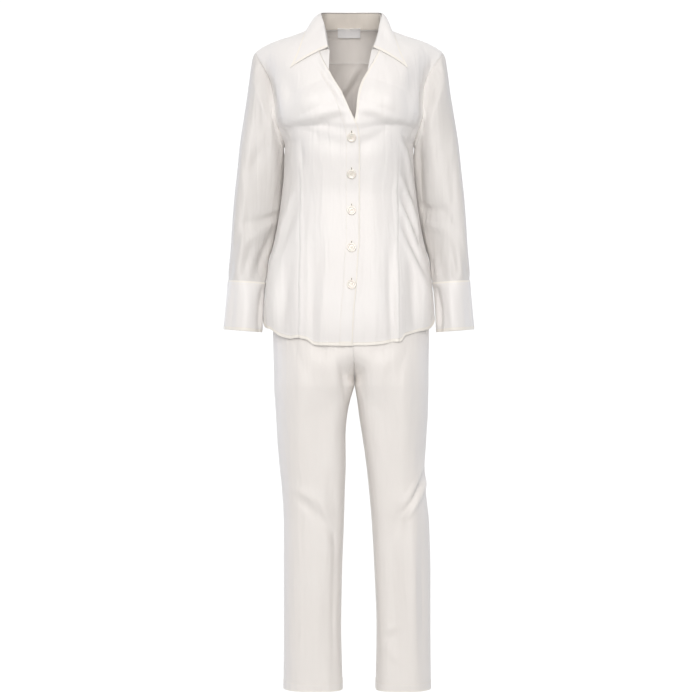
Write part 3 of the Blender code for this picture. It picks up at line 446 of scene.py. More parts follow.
def shellFaces(rows, columns, closed):
    last = columns if closed else columns - 1
    r, c = np.meshgrid(np.arange(rows - 1), np.arange(last), indexing="ij")
    a, b = r * columns + c, r * columns + (c + 1) % columns
    quads = np.stack((a, b, b + columns, a + columns), axis=-1).reshape(-1, 4)
    behind = rows * columns
    edges = [(k, (k + 1) % columns) for k in range(last)]
    top = (rows - 1) * columns
    rims = [(q, p, behind + p, behind + q) for p, q in edges]
    rims += [(top + p, top + q, behind + top + q, behind + top + p) for p, q in edges]
    if not closed:
        end = columns - 1
        for k in range(rows - 1):
            p, q = k * columns, (k + 1) * columns
            rims.append((p, q, behind + q, behind + p))
            rims.append((q + end, p + end, behind + p + end, behind + q + end))
    return np.concatenate((quads, quads[:, ::-1] + behind)).tolist() + rims


# Edge counts the faces of turned cloth along the first and last rows and columns.
def clothShell(name, outer, normals, material, wall=cloth["wall"], closed=False, edge=(0, 0, 0, 0),
               inside=crepeBackPaintedShade):
    rows, columns = outer.shape[:2]
    points = np.concatenate((outer.reshape(-1, 3), (outer - normals * wall).reshape(-1, 3)))
    faces = shellFaces(rows, columns, closed)
    facing = np.cross(np.gradient(outer, axis=1), np.gradient(outer, axis=0))
    if (facing * normals).sum() < 0:
        faces = [tuple(reversed(face)) for face in faces]
    piece = joinMeshes(name, [(points, faces)], material)
    if material is ribbon:
        return piece
    # the turned edges and the wrong side have cloth of their own
    piece.data.materials.append(edgeSatin)
    piece.data.materials.append(inside)
    last = columns if closed else columns - 1
    r, c = np.meshgrid(np.arange(rows - 1), np.arange(last), indexing="ij")
    marked = (r < edge[0]) | (r >= rows - 1 - edge[1]) | (c < edge[2]) | (c >= last - edge[3])
    index = np.zeros(len(piece.data.polygons), dtype=np.int32)
    index[:marked.size] = marked.ravel()
    index[marked.size:2 * marked.size] = np.where(marked.ravel(), 1, 2)
    piece.data.polygons.foreach_set("material_index", index)
    return piece


def ridesAs(piece, slot, *nodes):
    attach(piece, "root")
    if nodes:
        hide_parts(*nodes)
    return piece


# A cut panel: its shell of cloth, which takes the place of its solid.
def sewnPanel(name, node, kind, grid, material=shirtSatin, held="hung", closed=False, restsOn=None, **cut):
    points, normals = grid
    piece = ridesAs(clothShell(name, points, normals, material, closed=closed, **cut), "satin", node)
    return piece


# Positions along a side, closer together near both ends, where the seams are.
def seamSteps(last, step, edge=(0.06, 0.14)):
    inner = np.arange(0, last + 1e-9, step)
    extra = list(edge) + [last - e for e in edge]
    return np.array(sorted(set(np.round(np.concatenate((inner, extra)), 6))))


# A sewn seam: the last few millimetres of the cloth turn down to the stitched line.
def turnDown(points, normals, sides, depth=cloth["seamDepth"], reach=cloth["seamReach"]):
    turned = points.copy()
    for side in sides:
        flip = side.startswith("last")
        axis = 0 if side.endswith("Row") else 1
        lines = np.moveaxis(points, axis, 0)
        lines = lines[::-1] if flip else lines
        drop = depth * np.exp(-(runLength(lines) / reach) ** 2)
        drop = np.moveaxis(drop[::-1] if flip else drop, 0, axis)
        turned = turned - normals * drop[..., None]
    return turned


# A turned and stitched hem along the first row: a step up and a stitched groove at its top.
hemFold = dict(rise=0.0006, groove=0.0008, ramp=0.0016, sewn=0.0012)


def hemBand(points, normals, depth):
    length = runLength(points)
    step = hemFold["rise"] * (1 - ease((length - depth) / hemFold["ramp"]))
    groove = hemFold["groove"] * np.exp(-((length - depth + hemFold["sewn"]) / hemFold["sewn"]) ** 2)
    return points + normals * (step - groove)[..., None]


# Rows of stitches, each a small bar of thread lying along the line.
stitch = dict(length=0.0024, space=0.0034, width=0.00045, height=0.00035, sunk=0.0001, ahead=0.0006)
stitchParts = {"shirt": [], "trousers": []}


def readLine(line, length, places):
    return np.stack([np.interp(places, length, line[:, k]) for k in range(3)], axis=-1)


def sewLine(garment, line, outward, lift=0.0, closed=False):
    line = line + outward * lift
    if closed:
        line, outward = np.concatenate((line, line[:1])), np.concatenate((outward, outward[:1]))
    length = runLength(line)
    places = np.arange(stitch["space"] / 2, length[-1] - stitch["length"] / 2, stitch["space"])
    middle = readLine(line, length, places)
    along = unitRows(readLine(line, length, places + stitch["ahead"]) - middle)
    up = unitRows(readLine(outward, length, places))
    across = unitRows(np.cross(up, along))
    half, wide, high = stitch["length"] / 2, stitch["width"] / 2, stitch["height"]
    corners = []
    for a, b, c in ((-1, -0.6, 0), (1, -0.6, 0), (1, 0.6, 0), (-1, 0.6, 0),
                    (-0.7, -0.5, 1), (0.7, -0.5, 1), (0.7, 0.5, 1), (-0.7, 0.5, 1)):
        corners.append(middle + along * half * a + across * wide * b * 2 + up * (high * c - stitch["sunk"]))
    points = np.stack(corners, axis=1).reshape(-1, 3)
    box = [(3, 2, 1, 0), (4, 5, 6, 7), (0, 1, 5, 4), (1, 2, 6, 5), (2, 3, 7, 6), (3, 0, 4, 7)]
    faces = [tuple(8 * n + k for k in face) for n in range(len(middle)) for face in box]
    stitchParts[garment].append((points, faces))


print("helpers ready")


# The shirt's panels.
shirt = dict(lowRows=10, armSteps=16, vSteps=9, standEndZ=-0.050, vFootZ=-0.178, frontHemZ=-0.642,
             backHemZ=-0.652, sideHemZ=-0.580, hemPower=1.8, backHemPower=2.6, hemFade=0.150,
             yokeZ=-0.005, yokePower=2.0, backNeckDepth=0.058, yokeStep=12, dartColumns=5, sideColumns=7,
             dartShare=0.75, dartMargin=0.020, underlapX=0.030, underlap=0.0020, hem=0.007, edgeGap=0.0016)
lastRow = shirt["lowRows"] + shirt["armSteps"]    # rows run from the hem to the underarm to the shoulder
hemRows = (0, 0.04, 0.08, 0.11, 0.14, 0.17, 0.20, 0.26, 0.35)    # rows close together over the hem


# Height of a panel's side at each row: up the side seam, then round the armhole.
def sideHeight(row):
    low = blend(shirt["sideHemZ"], body["underarmZ"], row / shirt["lowRows"])
    turn = math.pi * np.clip((row - shirt["lowRows"]) / shirt["armSteps"], 0, 1)
    high = body["underarmZ"] + (body["tipZ"] - body["underarmZ"]) * (1 - np.cos(turn)) / 2
    return np.where(row < shirt["lowRows"], low, high)


def sideX(z):
    return bodyTable.at("halfWidth", z) * armholeTable.at("share", z)


# Height of the front's edge at each row: up the buttons, the V, and the neck to the shoulder.
def edgeHeight(row):
    low = blend(shirt["frontHemZ"], shirt["vFootZ"], row / shirt["lowRows"])
    slant = blend(shirt["vFootZ"], shirt["standEndZ"], (row - shirt["lowRows"]) / shirt["vSteps"])
    turn = (row - shirt["lowRows"] - shirt["vSteps"]) / (shirt["armSteps"] - shirt["vSteps"])
    rise = float(shoulderHeight(body["neckX"])) - shirt["standEndZ"]
    high = shirt["standEndZ"] + rise * np.sin(np.clip(turn, 0, 1) * math.pi / 2)
    return np.where(row < shirt["lowRows"], low, np.where(turn < 0, slant, high))


def frontEdgeX(z, hand):
    column = "right" if hand == right else "left"
    top, last = float(shoulderHeight(body["neckX"])), frontEdgeTable.keys[-1]
    share = np.clip((z - last) / (top - last), 0, 1)
    return blend(frontEdgeTable.at(column, z), hand * body["neckX"], share)


# The hem's own line, where the skirt's folds lift and drop it.
hemTable = SizeTable("x drop", [
    (-200, 0), (-185, -4), (-165, 2), (-150, -5), (-130, -3.5), (-108, 4.5), (-92, 3.5), (-75, -5),
    (-40, -2), (0, 0), (40, -2), (75, -3.5), (95, -2), (112, -4), (122, 6), (150, 5), (170, 0),
    (200, 0),
])


def hemWave(x, z):
    return hemTable.at("drop", x) * (1 - ease((z - shirt["frontHemZ"]) / shirt["hemFade"]))


# The left front lies a little lower where the right one laps over it.
def underlapLift(x, hand):
    if hand == right:
        return 0.0
    return -shirt["underlap"] * (1 - ease((x - shirt["underlapX"]) / shirt["underlapX"]))


def frontPanel(hand):
    rows = np.concatenate((hemRows, np.arange(0.5, lastRow - 0.2, 0.18),
                           (lastRow - 0.15, lastRow - 0.06, lastRow)))
    beside = [shirt["dartColumns"] + k for k in (-0.32, -0.26, -0.14, -0.09, -0.045, 0.08, 0.16, 0.3)]
    total = shirt["dartColumns"] + shirt["sideColumns"]
    columns = np.array(sorted(set(seamSteps(total, 0.15)) | set(beside)))
    grid = []
    for row in rows:
        zEdge, zSide = float(edgeHeight(row)), float(sideHeight(row))
        xEdge, xSide = float(frontEdgeX(zEdge, hand)), hand * float(sideX(zSide))
        reach = blend(abs(xEdge), abs(xSide), shirt["dartShare"]) + shirt["dartMargin"]
        xDart = hand * min(float(dartTable.at("x", (zEdge + zSide) / 2)), reach)
        knots = list(np.linspace(xEdge, xDart, shirt["dartColumns"] + 1)[:-1])
        turns = np.linspace(0, math.pi / 2, shirt["sideColumns"] + 1)
        knots += list(xDart + (xSide - xDart) * np.sin(turns))
        x = np.interp(columns, np.arange(total + 1), knots)
        share = (columns / total) ** blend(1, shirt["hemPower"], max(0.0, 1 - row / shirt["lowRows"]))
        z = blend(zEdge, zSide, share)
        z = np.minimum(z + hemWave(x, z), shoulderHeight(x))
        if row == lastRow:
            z = shoulderHeight(x)
        grid.append((x, z))
    x, z = np.array([g[0] for g in grid]), np.array([g[1] for g in grid])
    points, normals = shirtSurface(x, z, front, underlapLift(x, hand))
    points = hemBand(points, normals, shirt["hem"])
    points = turnDown(points, normals, ("lastRow", "lastColumn"))
    points = pullIn(points, ("lastRow", "lastColumn"))
    return pullIn(points, ("firstColumn",), shirt["edgeGap"]), normals


for hand, name, node in ((right, "rightFront", "shirt_front_right"), (left, "leftFront", "shirt_front_left")):
    points, normals = frontPanel(hand)
    sewnPanel(name, node, "front", (points, normals), edge=(4, 0, 4 if hand == left else 2, 1))
    sewLine("shirt", points[4], normals[4], lift=0.0002)
print("shirt fronts")


# Columns of the back and the yoke, as shares of half the width, with one on each neck point.
def backColumns(total):
    neck = body["neckX"] / body["tipX"]
    half = list(np.linspace(0, neck, 5)) + [0.54, 0.70, 0.82, 0.91, 0.975, 1.0]
    knots = np.array([-h for h in reversed(half[1:])] + half)
    return np.interp(total, np.arange(len(knots)), knots)


def backPanel():
    rows = np.concatenate((hemRows, np.arange(0.5, 21.8, 0.2), (21.85, 21.94, 22.0)))
    shares = backColumns(seamSteps(20, 0.25))
    x, z = [], []
    for row in rows:
        low = blend(shirt["backHemZ"], body["underarmZ"], row / shirt["lowRows"])
        high = blend(body["underarmZ"], shirt["yokeZ"], (row - shirt["lowRows"]) / shirt["yokeStep"])
        zCentre, zSide = low if row < shirt["lowRows"] else high, float(sideHeight(row))
        power = blend(shirt["yokePower"], shirt["backHemPower"], max(0.0, 1 - row / shirt["lowRows"]))
        x.append(shares * float(sideX(zSide)))
        z.append(blend(zCentre, zSide, np.abs(shares) ** power))
    points, normals = shirtSurface(np.array(x), np.array(z), back)
    points = hemBand(points, normals, shirt["hem"])
    points = turnDown(points, normals, ("lastRow", "firstColumn", "lastColumn"))
    return pullIn(points, ("lastRow", "firstColumn", "lastColumn")), normals


points, normals = backPanel()
sewnPanel("shirtBack", "shirt_back", "back", (points, normals), edge=(4, 0, 0, 0))
sewLine("shirt", points[4], normals[4], lift=0.0002)
print("shirt back")


# Height at which the body's surface passes over a point, for the seam behind the neck.
def bodyHeight(x, y, face):
    height = shoulderHeight(x)
    for _ in range(4):
        across = 1 - (np.abs(x) / bodyTable.at("halfWidth", height)) ** body["acrossPower"]
        ratio = (np.abs(y) / bodyDepth(height, face)) ** body["depthPower"] / across
        rise = np.maximum(0.0, 1 - ratio) ** (1 / body["capPower"])
        height = body["capStart"] + rise * (shoulderHeight(x) - body["capStart"])
    return height


def backNeck(turn):
    x = body["neckX"] * np.sin(turn * math.pi / 2)
    y = shirt["backNeckDepth"] * np.cos(turn * math.pi / 2)
    return x, bodyHeight(x, y, back)


def yokePanel():
    neck = body["neckX"] / body["tipX"]
    shares = backColumns(seamSteps(20, 0.25))
    first = float(sideHeight(shirt["lowRows"] + shirt["yokeStep"]))
    xLow = shares * float(sideX(first))
    zLow = blend(shirt["yokeZ"], first, np.abs(shares) ** shirt["yokePower"])
    xNeck, zNeck = backNeck(np.minimum(1.0, np.abs(shares) / neck))
    inside = np.abs(shares) <= neck + 1e-6
    xHigh = np.where(inside, np.copysign(xNeck, shares), shares * body["tipX"])
    zHigh = np.where(inside, zNeck, shoulderHeight(shares * body["tipX"]))
    x, z = [], []
    for step in seamSteps(4, 0.2, (0.05, 0.12)):
        level = float(sideHeight(shirt["lowRows"] + shirt["yokeStep"] + step))
        rise = (level - first) / (body["tipZ"] - first)
        line = blend(xLow, xHigh, rise)
        line[0], line[-1] = -float(sideX(level)), float(sideX(level))
        x.append(line)
        z.append(np.minimum(blend(zLow, zHigh, rise), shoulderHeight(line)))
    points, normals = shirtSurface(np.array(x), np.array(z), back)
    return pullIn(turnDown(points, normals, allSides), allSides), normals


sewnPanel("yoke", "shirt_yoke", "yoke", yokePanel())
print("yoke")


# The buttonhole band lies on the right front and carries on up the V as a turned edge.
band = dict(wall=0.0008, gap=0.0005, endGap=0.0016, edgeDip=0.0004, edgeShare=0.05, swell=0.0005,
            swellRate=61)
bandTable = SizeTable("height width", [
    (-645, 30), (-230, 31), (-180, 30), (-130, 23), (-50, 20),
])


def bandPanel():
    rows = np.concatenate(([0, 0.05, 0.1, 0.15, 0.2], np.arange(0.4, 18.9, 0.2), [19]))
    z = edgeHeight(rows)[:, None]
    share = np.array([0, 0.03, 0.08, 0.2, 0.4, 0.6, 0.8, 0.92, 0.97, 1.0])[None, :]
    x = frontEdgeX(z, right) - bandTable.at("width", z) * share
    edge = band["edgeShare"]
    dip = -band["edgeDip"] * (np.exp(-(share / edge) ** 2) + np.exp(-((1 - share) / edge) ** 2))
    swell = band["swell"] * np.sin(np.pi * share) * np.sin(z * band["swellRate"]) ** 2
    points, normals = shirtSurface(x, z, front, band["gap"] + band["wall"] + dip + swell)
    return pullIn(points, ("lastRow",), band["endGap"]), normals


points, normals = bandPanel()
sewnPanel("buttonholeBand", "shirt_buttonhole_band", "band", (points, normals), held="laid",
          restsOn=["rightFront"], wall=band["wall"], edge=(4, 0, 2, 0))
for column in (2, 7):
    sewLine("shirt", points[:, column], normals[:, column], lift=0.0001)
print("buttonhole band")


# Collar: a stand round the neck, and the leaf that folds over it.
collar = dict(standShare=0.96, standGap=0.0036, leafStart=0.0015, leafRise=0.0020, clearance=0.0045,
              bulge=0.0055, bulgePower=0.7, lean=0.06, wall=0.0011, sewnRow=13, sewnDepth=0.0004,
              sewnRows=0.7, paintedShadeY=-0.010)
rollTable = SizeTable("station right left y z", [
    (0, 0, 0, 46.5, 98), (200, 36, 38, 42.5, 97.5), (380, 53, 60, 33, 95.5), (520, 60, 70, 10, 90),
    (640, 59, 70, -18, 80), (760, 53, 66, -44, 58), (880, 46.5, 59, -64, 27), (1000, 42, 49, -78, -3),
])
leafTable = SizeTable("station x y z", [
    (0, 0, 86, 40), (200, 45, 78, 39), (380, 74, 52, 47), (520, 85, 6, 56), (640, 91, -34, 45),
    (760, 100, -59, 23), (880, 113, -79, -12), (1000, 127, -85, -43),
])


# The line that the collar is sewn to, from the right front round the neck to the left.
def neckSeam():
    rows = np.linspace(19, 26, 36)[:-1]
    z = edgeHeight(rows)
    rightSide = shirtSurface(frontEdgeX(z, right), z, front)[0]
    xLeft = frontEdgeX(z, left)
    leftSide = shirtSurface(xLeft, z, front, underlapLift(xLeft, left))[0]
    turn = np.linspace(-1, 1, 49)
    x, height = backNeck(np.abs(turn))
    behind = shirtSurface(np.copysign(x, turn), height, back)[0]
    return np.concatenate((rightSide, behind, leftSide[::-1]))


def alongTable(table, station, columns):
    place = np.abs(station)
    x = np.where(station > 0, table.at(columns[1], place), -table.at(columns[0], place))
    return np.stack((x, table.at("y", place), table.at("z", place)), axis=-1)


seam = neckSeam()
stations = 2 * runLength(seam) / runLength(seam)[-1] - 1
roll = alongTable(rollTable, stations, ("right", "left"))


def standPanel():
    shares = np.array([0, 0.03, 0.08, 0.2, 0.4, 0.6, 0.8, 1.0]) * collar["standShare"]
    points = np.array([blend(seam, roll, share) for share in shares])
    points = pullIn(points, ("firstRow",), collar["standGap"])
    return points, -gridNormals(points)


def leafPanel():
    begin = roll.copy()
    begin[:, :2] += unitRows(roll[:, :2]) * collar["leafStart"]
    begin[:, 2] += collar["leafRise"]
    edge = clearOfBody(alongTable(leafTable, stations, ("x", "x")), collar["clearance"])
    lines = []
    for share in (0, 0.02, 0.05, 0.1, 0.17, 0.25, 0.35, 0.45, 0.55, 0.65, 0.75, 0.84, 0.9, 0.93, 0.96,
                  0.98, 1.0):
        line = blend(begin, edge, share)
        out = unitRows(np.stack((line[:, 0], line[:, 1], np.full(len(line), collar["lean"])), axis=-1))
        line = line + out * collar["bulge"] * math.sin(math.pi * share ** collar["bulgePower"])
        lines.append(line if share == 0 else clearOfBody(line, collar["clearance"]))
    points = np.array(lines)
    return points, gridNormals(points)


stand = sewnPanel("collarStand", "collar_stand", "stand", standPanel(), wall=collar["wall"],
                  inside=shirtSatin)
stand.data.materials.append(collarPaintedShade)    # behind the neck the stand takes a darker, duller copy of the satin: painted shade inside the collar
for face in stand.data.polygons:
    if face.center.y > collar["paintedShadeY"]:
        face.material_index = 3
points, normals = leafPanel()
fromSeam = (np.arange(len(points)) - collar["sewnRow"])[:, None, None]
points = points - normals * collar["sewnDepth"] * np.exp(-(fromSeam / collar["sewnRows"]) ** 2)
sewnPanel("collarLeaf", "collar_leaf", "leaf", (points, normals), held="folded", restsOn=["collarStand"],
          wall=collar["wall"], edge=(0, 4, 1, 1))
sewLine("shirt", points[collar["sewnRow"], 1:-1], normals[collar["sewnRow"], 1:-1])
for column in (1, -2):
    sewLine("shirt", points[3:collar["sewnRow"] + 1, column], normals[3:collar["sewnRow"] + 1, column])
print("collar")


# Plain woven label, sewn along its top edge inside the neck.
label = dict(halfWidth=0.026, top=0.067, bottom=0.049, wall=0.0005, gap=0.0026, drop=0.0020, wave=0.0003,
             waveRate=240)
across = np.linspace(-label["halfWidth"], label["halfWidth"], 21)[None, :]
down = np.linspace(0, 1, 13)[:, None]
points, normals = shirtSurface(across, blend(label["top"], label["bottom"], down), back,
                               label["wave"] * np.sin(across * label["waveRate"])
                               - (label["gap"] + label["drop"] * down))
labelPiece = ridesAs(clothShell("neckLabel", points, normals, ribbon, label["wall"]), "ribbon", "neck_label")
sewLine("shirt", points[1], -normals[1], lift=0.0007)
print("label")


# Sleeves hang in oval rings from the inner to the outer arm.
sleeve = dict(length=0.518, capFade=0.075, spacing=1.25, armholeGap=0.0016, tuck=0.0022, rows=13,
              girth=0.34, capEase=0.0012, capAt=0.018, capWaves=13, wristEase=0.0016, wristReach=0.020,
              wristWaves=9, fade=0.030, endFade=0.012, seamDepth=0.0008, pad=(0, 30, 0, 200, 18, 5))
sleeveColumns = "station outerX outerZ outerY innerX innerZ innerY depth"
sleeveTable = SizeTable(sleeveColumns, [
    (0, 205, 4, 0, 141.5, -205, 0, 116), (15, 209.5, -4.5, -1, 144, -209, 2, 118),
    (35, 213.5, -21, -3, 145.5, -214, 6, 121), (65, 217.5, -48, -6, 145.5, -223, 12, 124),
    (105, 222.5, -88, -9, 145, -236, 20, 127), (155, 229.5, -137, -12, 144.5, -255, 27, 126),
    (215, 238.5, -198, -16, 144, -283, 31, 122), (275, 244.5, -259, -20, 147, -316, 31, 117),
    (335, 250.8, -320, -24, 151, -351, 29, 112), (390, 254.8, -374, -29, 159, -387, 26, 106),
    (430, 257.2, -413, -33, 166, -418, 20, 100), (475, 260.2, -457, -36, 178, -459, 1, 91),
    (518, 262.7, -498.5, -38, 182.5, -503, -23, 82),
])
cuff = dict(wall=0.0011, length=0.11, edgeDepth=0.0005, columns=72)
cuffTable = SizeTable(sleeveColumns, [
    (0, 264, -499, -38.5, 181.5, -503.5, -24, 85), (500, 268.5, -553, -39, 185, -558, -32, 87),
    (1000, 273.5, -606, -40, 188, -612.5, -38, 90),
])
# Creases of the sleeves and cuffs, with turns in place of x: 0 at the inner arm, 250 at the
# front and 500 at the outer arm. In place of z they have the length along the sleeve, or the
# share of the cuff.
sleeveCreases = {
    right: [
        (50, 330, 300, 385, 11, -2.8, 6, 0.3), (100, 365, 300, 440, 12, 2.4, 0, 0.3),
        (100, 400, 140, 515, 14, -5), (200, 50, 170, 300, 14, 3.4, 4, 0.3),
        (300, 60, 280, 340, 16, -2.6), (400, 100, 400, 420, 16, 2.4),
        (220, 150, 340, 270, 13, -1.8, 4, 0.2), (260, 340, 400, 450, 16, -2.4, 4),
        (340, 400, 300, 500, 10, 2), (240, 430, 260, 510, 9, -2), (600, 250, 800, 330, 14, -4, 0, 0.2),
        (700, 80, 660, 260, 16, 3.4), (620, 360, 820, 420, 13, 3.6), (920, 100, 900, 340, 14, -3),
    ],
    left: [
        (60, 300, 260, 350, 12, -3, 6, 0.3), (80, 360, 250, 400, 12, 2.6, 0, 0.3),
        (90, 30, 90, 360, 16, -6), (220, 40, 200, 360, 14, 3), (330, 80, 340, 460, 18, -2.4),
        (430, 140, 420, 500, 18, 2.2), (240, 330, 360, 430, 13, -1.8, 4, 0.2),
        (280, 420, 270, 510, 9, -2), (600, 240, 800, 320, 14, -4, 0, 0.2), (720, 90, 660, 280, 16, 3.4),
        (620, 370, 820, 430, 13, 3.4), (920, 120, 900, 360, 14, -3),
    ],
}
cuffCreases = {
    right: [
        (360, 100, 350, 1100, 8, -2, 0, 0.4), (420, 200, 430, 1100, 10, 1.8),
        (60, 20, 70, 1100, 20, -6), (220, 200, 220, 1100, 16, 2.4),
    ],
    left: [
        (60, 20, 70, 1100, 24, -10), (220, 20, 220, 1100, 12, 3.4, 0, -0.3),
        (270, 200, 260, 1100, 18, 1.4), (380, 300, 390, 1100, 12, -1.8),
    ],
}


def armholeRing(steps):
    z = sideHeight(shirt["lowRows"] + np.linspace(0, shirt["armSteps"], steps + 1))
    ahead, aheadOut = shirtSurface(sideX(z), z, front)
    behind, behindOut = shirtSurface(sideX(z)[-2:0:-1], z[-2:0:-1], back)
    return np.concatenate((ahead, behind)), np.concatenate((aheadOut, behindOut))


def ovalRing(table, station, count):
    outer, inner = (np.array([float(table.at(side + axis, station)) for axis in "XYZ"])
                    for side in ("outer", "inner"))
    turn = np.linspace(0, 2 * math.pi, count, endpoint=False)[:, None]
    reach, halfDepth = (outer - inner) / 2, float(table.at("depth", station)) / 2
    return (outer + inner) / 2 - reach * np.cos(turn) - np.array((0, 1, 0)) * halfDepth * np.sin(turn)


def tubeCreases(creases, station, count, perUnit=1.0):
    turn, girth = np.arange(count)[None, :] / count, sleeve["girth"]
    scaled = [(c[0] * girth, c[1] * perUnit, c[2] * girth, c[3] * perUnit) + tuple(c[4:]) for c in creases]
    # a crease near the inner seam carries on round it
    return sum(creaseHeight(scaled, (turn + shift) * girth, station[:, None] * perUnit)
               for shift in (-1, 0, 1))


def sleevePanel(hand):
    hole, holeOut = armholeRing(54)
    count, length = len(hole), sleeve["length"]
    first = ovalRing(sleeveTable, 0.0, count)
    rows = np.concatenate(((0, 0.04, 0.1, 0.2, 0.35), np.arange(0.5, sleeve["rows"] - 0.1, 0.14),
                           (sleeve["rows"] - 0.06, sleeve["rows"])))
    station = length * (rows / sleeve["rows"]) ** sleeve["spacing"]
    rings = [ovalRing(sleeveTable, s, count) + (hole - first) * (1 - float(ease(s / sleeve["capFade"])))
             for s in station]
    points = pullIn(np.array(rings), ("firstRow",), sleeve["armholeGap"])
    points = pullIn(points, ("lastRow",), -sleeve["tuck"])    # the end goes a little way into the cuff
    normals = -gridNormals(points, closed=True)
    normals[0] = unitRows(normals[0] + holeOut)
    rise = tubeCreases(sleeveCreases[hand], station, count) * body["creaseStrength"]
    rise = rise + tubeCreases([sleeve["pad"]], station, count)
    # the cap is eased into the armhole, and the wrist is drawn a little into the cuff
    turn, down = np.arange(count)[None, :] * (2 * math.pi / count), station[:, None]
    cap = sleeve["capEase"] * np.sin(turn * sleeve["capWaves"] + np.sin(turn * 5) * 2)
    cap = cap * np.exp(-((down - sleeve["capAt"]) / sleeve["capAt"]) ** 2)
    wrist = sleeve["wristEase"] * np.sin(turn * sleeve["wristWaves"] + 1)
    wrist = wrist * np.exp(-((length - sleeve["wristReach"] - down) / sleeve["fade"]) ** 2)
    fade = ease(down / sleeve["fade"])
    fade = fade * (1 - ease((down - length + sleeve["endFade"]) / sleeve["endFade"]))
    points = points + normals * ((rise + wrist + cap) * fade)[..., None]
    return turnDown(points, normals, ("firstRow",), sleeve["seamDepth"]), normals


def cuffPanel(hand):
    count = cuff["columns"]
    station = np.array([0, 0.015, 0.04, 0.08, 0.15, 0.25, 0.35, 0.45, 0.55, 0.65, 0.75, 0.84, 0.91, 0.94,
                        0.96, 0.98, 1.0])
    points = pullIn(np.array([ovalRing(cuffTable, s, count) for s in station]), ("firstRow",))
    normals = -gridNormals(points, closed=True)
    rise = tubeCreases(cuffCreases[hand], station, count, cuff["length"]) * ease(station * 6)[:, None]
    points = points + normals * (rise * body["creaseStrength"])[..., None]
    return turnDown(points, normals, ("lastRow",), cuff["edgeDepth"]), normals


for hand, word in ((left, "left"), (right, "right")):
    flip = np.array((hand, 1.0, 1.0))    # both are made as the left one
    sewnPanel(word + "Sleeve", "sleeve_" + word, "sleeve", [grid * flip for grid in sleevePanel(hand)],
              sleeveSatin, closed=True, edge=(1, 0, 0, 0))
    points, normals = [grid * flip for grid in cuffPanel(hand)]
    sewnPanel(word + "Cuff", "cuff_" + word, "cuff", (points, normals), closed=True, wall=cuff["wall"],
              edge=(2, 3, 0, 0))
    for row in (3, 13):
        sewLine("shirt", points[row], normals[row], closed=True)
print("sleeves and cuffs")


# Trousers: two legs whose rings join at the crotch into the hips.
trousers = dict(hemZ=-1.392, crotchZ=-0.726, waistZ=-0.352, rise={front: 0.080, back: 0.120},
                fill={front: 0.19, back: 0.08}, outerFill=0.08, outerDrop=0.10, outerRise=0.24,
                crotchPower=0.62, bandDepth=0.035, hipCentre=0.0045, power=2.6, innerPower=3.6, gap=0.0004,
                hem=0.019, seamDepth=0.0007, creaseStrength=1.2, gathers=40, gatherDepth=0.0010,
                bandInset=0.0012, columns=57, seamShare=0.008, nearFrom=0.35, nearOver=0.5, foldRise=2.5)
hipTable = SizeTable("height seam halfWidth frontDepth backDepth", [
    (-760, 13, 169, 100, 112), (-726, 12.5, 169, 103, 114), (-680, 11, 170, 106, 119),
    (-620, 8, 171.5, 107.5, 127.2), (-560, 6, 169, 106.5, 128.5), (-500, 4, 162, 102, 120),
    (-440, 3, 150, 96, 105), (-390, 2, 140, 88, 88), (-340, 2, 135, 85, 82),
])
legColumns = {right: ("rightOuter", "rightInner"), left: ("leftOuter", "leftInner")}
legTable = SizeTable("height rightOuter rightInner leftOuter leftInner frontDepth backDepth", [
    (-1392, 144, 14, 180, 58.5, 64, 70), (-1260, 143, 17, 179, 60.5, 64, 69),
    (-1140, 143, 15, 179, 56, 66, 69), (-1030, 143, 11, 176, 50, 69, 70), (-960, 147, 9, 169, 44, 73, 74),
    (-900, 153, 7, 166.5, 37.5, 78, 80), (-840, 158, 7.5, 170, 29, 84, 88),
    (-795, 160, 4, 173, 22, 89, 96), (-760, 162, -3, 174, 17.5, 93, 103),
    (-738, 164, -9.5, 175, 14, 96, 107), (-726, 164.5, -12.5, 175.5, 12.5, 98, 109),
    (-600, 165, -12.5, 176, 12.5, 102, 115),
])
